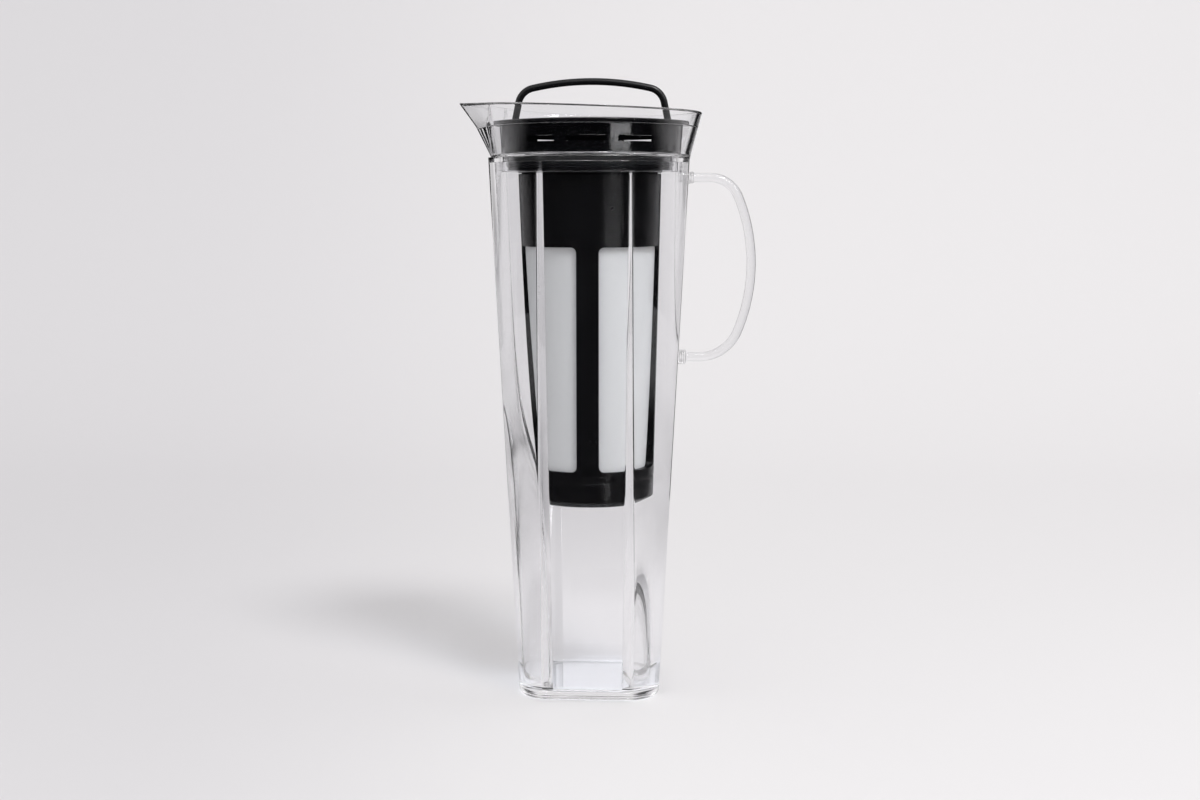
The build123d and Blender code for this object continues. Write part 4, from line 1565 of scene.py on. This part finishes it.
@dataclass
class Studio:
    """Pale seamless sweep, soft lamps and the camera.

    Lengths are metres, and the paper has so many grains to a metre.
    """

    # Painted shade: the floor paper is greyer than the wall paper, and the left floor and wall are greyer
    # again, for the shade on the floor and the fall-off of light to the left.
    floor_paper: str = "#E7E5E6"
    wall_paper: str = "#F1EFF0"
    shaded_left_floor: str = "#DCDADC"
    shaded_left_wall: str = "#E8E6E8"
    paper_grains: float = 900.0
    floor_shade_span: Pair = (0.2, 1.3)
    left_shade_span: Pair = (-0.28, 0.05)
    paper_gap: float = -0.0002
    floor_half_width: float = 1.2
    floor_front: float = -0.5
    sweep_start: float = 0.7
    sweep_radius: float = 0.9
    sweep_steps: int = 24
    wall_height: float = 3.5
    # Painted dark reflection: where mirrored rays see the paper in front of and beside the jug, it turns to
    # the dark tone.
    front_shade: Pair = (-0.2, -0.4)
    mirror_reach: Pair = (0.2, 0.4)
    mirror_end: Pair = (0.85, 0.65)
    dark_reflection_tone: str = "#151517"
    back_tone: str = "#F1EFF0"
    # Painted reflections: mirrored rays see a room that is pale behind and above and dark in front, though
    # the world lights everything evenly.
    bright_behind: Pair = (0.0, 0.5)
    bright_above: Pair = (0.0, 0.4)
    # Painted highlight: a bright patch low down to the front right. Only mirrored rays that have passed more
    # than three clear faces see it, so it shows on the lid's drum.
    highlight_across: Pair = (0.45, 0.78)
    highlight_up: Pair = (-0.14, -0.07)
    highlight_softness: float = 0.02
    painted_highlight_strength: float = 10.0
    world_light: float = 0.79
    aim_height: float = 0.18
    key: Softbox = Softbox((0.68, -0.9, 1.75), (0.45, 0.45), 15.0, lights_surfaces=True)
    overhead: Softbox = Softbox((0.5, -0.75, 1.1), (1.3, 0.1), 4.0, roll=-35.0)
    camera_place: tuple[float, float, float] = (0.0043, -0.870, 0.238)
    camera_pitch: float = -6.13
    camera_turn: float = 3.0
    focal_pixels: float = 1750.0
    picture_width: float = 1200.0
    sensor_width: float = 36.0
    bounces: int = 28

    def make_sweep(self) -> None:
        """Floor that curves up into the backdrop."""
        at = Vector((0, self.floor_front, self.paper_gap))
        path = []
        for turn in spread(0.0, RIGHT_ANGLE, self.sweep_steps):
            y = self.sweep_start + self.sweep_radius * math.sin(turn)
            path.append(Vector((0, y, self.paper_gap + self.sweep_radius * (1 - math.cos(turn)))))
        path.append(path[-1] + Vector((0, 0, self.wall_height)))
        bm = bmesh.new()
        half = self.floor_half_width
        edges = [bm.edges.new([bm.verts.new((x, at.y, at.z)) for x in (-half, half)])]
        for point in path:
            made = bmesh.ops.extrude_edge_only(bm, edges=edges)["geom"]
            edges = [item for item in made if isinstance(item, Edge)]
            verts = [item for item in made if isinstance(item, bmesh.types.BMVert)]
            bmesh.ops.translate(bm, vec=point - at, verts=verts)
            at = point
        sweep = new_piece("paper_sweep", bm)
        sweep.data.shade_smooth()
        sweep.data.materials.append(self.paper_material())

    def paper_material(self) -> bpy.types.Material:
        """Matt paper with the faintest tooth, painted shade that greys it on the floor and to the left, and a
        painted dark reflection where the jug would mirror it.

        Returns:
            The new material.
        """
        material, tree = empty_material("studio_paper")
        place = add_node(tree, "TexCoord").outputs["Object"]
        x, y, _ = add_node(tree, "SeparateXYZ", {0: place}).outputs
        aside = add_node(tree, "Math", {0: x}, operation="ABSOLUTE")
        distance = add_node(tree, "Math", {0: y, 1: self.camera_place[1]}, operation="SUBTRACT")
        bearing = add_node(tree, "Math", {0: x, 1: distance}, operation="DIVIDE")
        fades = []
        for value, (start, end) in (
            (y, self.floor_shade_span),
            (bearing, self.left_shade_span),
            (aside, self.mirror_end),
            (aside, self.mirror_reach),
            (y, self.front_shade),
        ):
            limits = {"Value": value, "From Min": start, "From Max": end}
            fades.append(add_node(tree, "MapRange", limits, interpolation_type="SMOOTHSTEP"))
        painted_floor_shade, painted_left_shade, near, beside, in_front = fades
        # Painted dark reflection: mask of where mirrored rays see the paper dark, beside the jug and in front
        # of it.
        rays = add_node(tree, "LightPath").outputs
        mirrored = add_node(tree, "Math", {0: rays["Glossy Depth"], 1: 0.5}, operation="GREATER_THAN")
        dark_reflection_mask = add_node(tree, "Math", {0: rays["Transmission Depth"], 1: 0.5}, operation="LESS_THAN")
        for operation, other in (
            ("MAXIMUM", near),
            ("MULTIPLY", beside),
            ("MAXIMUM", in_front),
            ("MULTIPLY", mirrored),
        ):
            dark_reflection_mask = add_node(tree, "Math", {0: dark_reflection_mask, 1: other}, operation=operation)
        # Painted shade: the paper greys from the wall down to the floor and towards the left.
        sides = []
        floors = (self.shaded_left_floor, self.floor_paper)
        walls = (self.shaded_left_wall, self.wall_paper)
        for floor, wall in zip(floors, walls):
            tones = {0: painted_floor_shade, 6: srgb(floor), 7: srgb(wall)}
            sides.append(add_node(tree, "Mix", tones, data_type="RGBA").outputs[2])
        lit = add_node(tree, "Mix", {0: painted_left_shade, 6: sides[0], 7: sides[1]}, data_type="RGBA").outputs[2]
        # Painted dark reflection: the mask swaps the lit paper for the dark tone.
        tones = {0: dark_reflection_mask, 6: lit, 7: srgb(self.dark_reflection_tone)}
        fineness = {"Scale": self.paper_grains, "Detail": 2.0}
        tooth = add_node(tree, "TexNoise", {"Vector": place, **fineness})
        inputs = {
            "Base Color": add_node(tree, "Mix", tones, data_type="RGBA").outputs[2],
            "Normal": add_node(tree, "Bump", {"Height": tooth, "Strength": 0.05, "Distance": 0.1 * MM}),
            "Roughness": 0.9,
            "Specular IOR Level": 0.0,
        }
        add_node(tree, "OutputMaterial", {"Surface": add_node(tree, "BsdfPrincipled", inputs)})
        return material

    def make_world(self) -> None:
        """Even soft light and a pale background, with painted reflections of a darker room in front for what
        is mirrored.
        """
        world = bpy.data.worlds.new("soft_studio")
        world.use_nodes = True
        tree = world.node_tree
        tree.nodes.clear()
        rays = add_node(tree, "LightPath").outputs
        sharp = add_node(tree, "Background", {"Color": self.painted_reflection_room(tree)})
        lit = add_node(tree, "Background", {"Color": (1, 1, 1, 1), "Strength": self.world_light})
        seen = add_node(tree, "Background", {"Color": srgb(self.back_tone)})
        glossy, bent = rays["Is Glossy Ray"], rays["Is Transmission Ray"]
        specular = add_node(tree, "Math", {0: glossy, 1: bent}, operation="MAXIMUM")
        unscattered = add_node(tree, "Math", {0: rays["Diffuse Depth"], 1: 0.5}, operation="LESS_THAN")
        sharp_ray = add_node(tree, "Math", {0: specular, 1: unscattered}, operation="MULTIPLY")
        soft = add_node(tree, "MixShader", {0: sharp_ray, 1: lit, 2: sharp})
        final = add_node(tree, "MixShader", {0: rays["Is Camera Ray"], 1: soft, 2: seen})
        add_node(tree, "OutputWorld", {"Surface": final})
        bpy.context.scene.world = world

    def painted_reflection_room(self, tree: Tree) -> bpy.types.NodeSocket:
        """Colour of the surroundings for sharp rays: pale for bent ones, and for mirrored ones a painted
        room, dark in front, with a painted highlight patch.

        Args:
            tree: The world's node tree.

        Returns:
            The colour's socket.
        """
        direction = add_node(tree, "TexCoord").outputs["Generated"]
        x, y, z = add_node(tree, "SeparateXYZ", {0: direction}).outputs
        rays = add_node(tree, "LightPath").outputs
        edges = [(y, self.bright_behind), (z, self.bright_above)]
        for axis, ends in ((x, self.highlight_across), (z, self.highlight_up)):
            for end, soft in zip(ends, (self.highlight_softness, -self.highlight_softness)):
                edges.append((axis, (end - soft, end + soft)))
        fades = []
        for axis, (start, end) in edges:
            limits = {"Value": axis, "From Min": start, "From Max": end}
            fades.append(add_node(tree, "MapRange", limits, interpolation_type="SMOOTHSTEP"))
        behind, above, *highlight_edges = fades
        walls = rays["Transmission Depth"]
        brighter = add_node(tree, "Math", {0: behind, 1: above}, operation="MAXIMUM")
        # Painted highlight: the bright patch, seen only by rays mirrored after more than three clear faces.
        window = add_node(tree, "Math", {0: y, 1: 0.0}, operation="LESS_THAN")
        behind_wall = add_node(tree, "Math", {0: walls, 1: 3.0}, operation="GREATER_THAN")
        for other in (*highlight_edges, behind_wall):
            window = add_node(tree, "Math", {0: window, 1: other}, operation="MULTIPLY")
        off_outer_face = add_node(tree, "Math", {0: walls, 1: 0.5}, operation="LESS_THAN")
        reflected = add_node(tree, "Math", {0: rays["Glossy Depth"], 1: 0.5}, operation="GREATER_THAN")
        dark, pale = srgb(self.dark_reflection_tone), srgb(self.back_tone)
        highlight_glow = (self.painted_highlight_strength, self.painted_highlight_strength, self.painted_highlight_strength, 1)
        # Painted reflections: dark in front and pale behind and above; reflections off an outer face see the
        # dark room unless they go up.
        painted_dark_room = add_node(tree, "Mix", {0: above, 6: dark, 7: pale}, data_type="RGBA").outputs[2]
        room = add_node(tree, "Mix", {0: brighter, 6: dark, 7: pale}, data_type="RGBA").outputs[2]
        for share, other in ((window, highlight_glow), (off_outer_face, painted_dark_room)):
            room = add_node(tree, "Mix", {0: share, 6: room, 7: other}, data_type="RGBA").outputs[2]
        return add_node(tree, "Mix", {0: reflected, 6: pale, 7: room}, data_type="RGBA").outputs[2]

    def add_softbox(self, name: str, box: Softbox) -> None:
        """Rectangular lamp that faces the lid.

        Args:
            name: Name of the lamp.
            box: Where it stands, its size and its power.
        """
        lamp = bpy.data.lights.new(name, "AREA")
        lamp.shape = "RECTANGLE"
        lamp.size, lamp.size_y = box.size
        lamp.energy = box.watts
        holder = bpy.data.objects.new(name, lamp)
        holder.location = box.place
        aim = Vector((0, 0, self.aim_height)) - Vector(box.place)
        facing = aim.to_track_quat("-Z", "Y").to_matrix() @ Matrix.Rotation(math.radians(box.roll), 3, "Z")
        holder.rotation_euler = facing.to_euler()
        holder.visible_camera = False
        holder.visible_diffuse = box.lights_surfaces
        bpy.context.scene.collection.objects.link(holder)

    def make_camera(self) -> None:
        """Camera at the photograph's distance, height and angle."""
        lens = bpy.data.cameras.new("camera")
        lens.sensor_width = self.sensor_width
        lens.lens = self.sensor_width * self.focal_pixels / self.picture_width
        camera = bpy.data.objects.new("camera", lens)
        turn = math.radians(self.camera_turn)
        camera.location = Matrix.Rotation(turn, 3, "Z") @ Vector(self.camera_place)
        camera.rotation_euler = (math.radians(90 + self.camera_pitch), 0, turn)
        bpy.context.scene.collection.objects.link(camera)
        bpy.context.scene.camera = camera

    def make(self) -> None:
        """Builds the sweep, world, lamps and camera."""
        self.make_sweep()
        self.make_world()
        self.add_softbox("key_softbox", self.key)
        self.add_softbox("overhead_softbox", self.overhead)
        self.make_camera()
        scene = bpy.context.scene
        scene.view_settings.view_transform = "Standard"
        scene.cycles.max_bounces = self.bounces
        scene.cycles.glossy_bounces = self.bounces
        scene.cycles.transmission_bounces = self.bounces


def main() -> None:
    """Builds the jug, handle, lid, bail, filter and studio in order."""
    logging.basicConfig(level=logging.INFO, format="%(name)s %(message)s")
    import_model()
    places = Places()
    studio = Studio()
    studio.make()
    jug = ClearJug(places)
    jug.make()
    ClearHandle(places, jug).make()
    lid = Lid(places)
    lid.make()
    Bail(lid).make()
    Filter(places).make()
    bpy.context.view_layer.update()


if __name__ == "__main__":
    main()
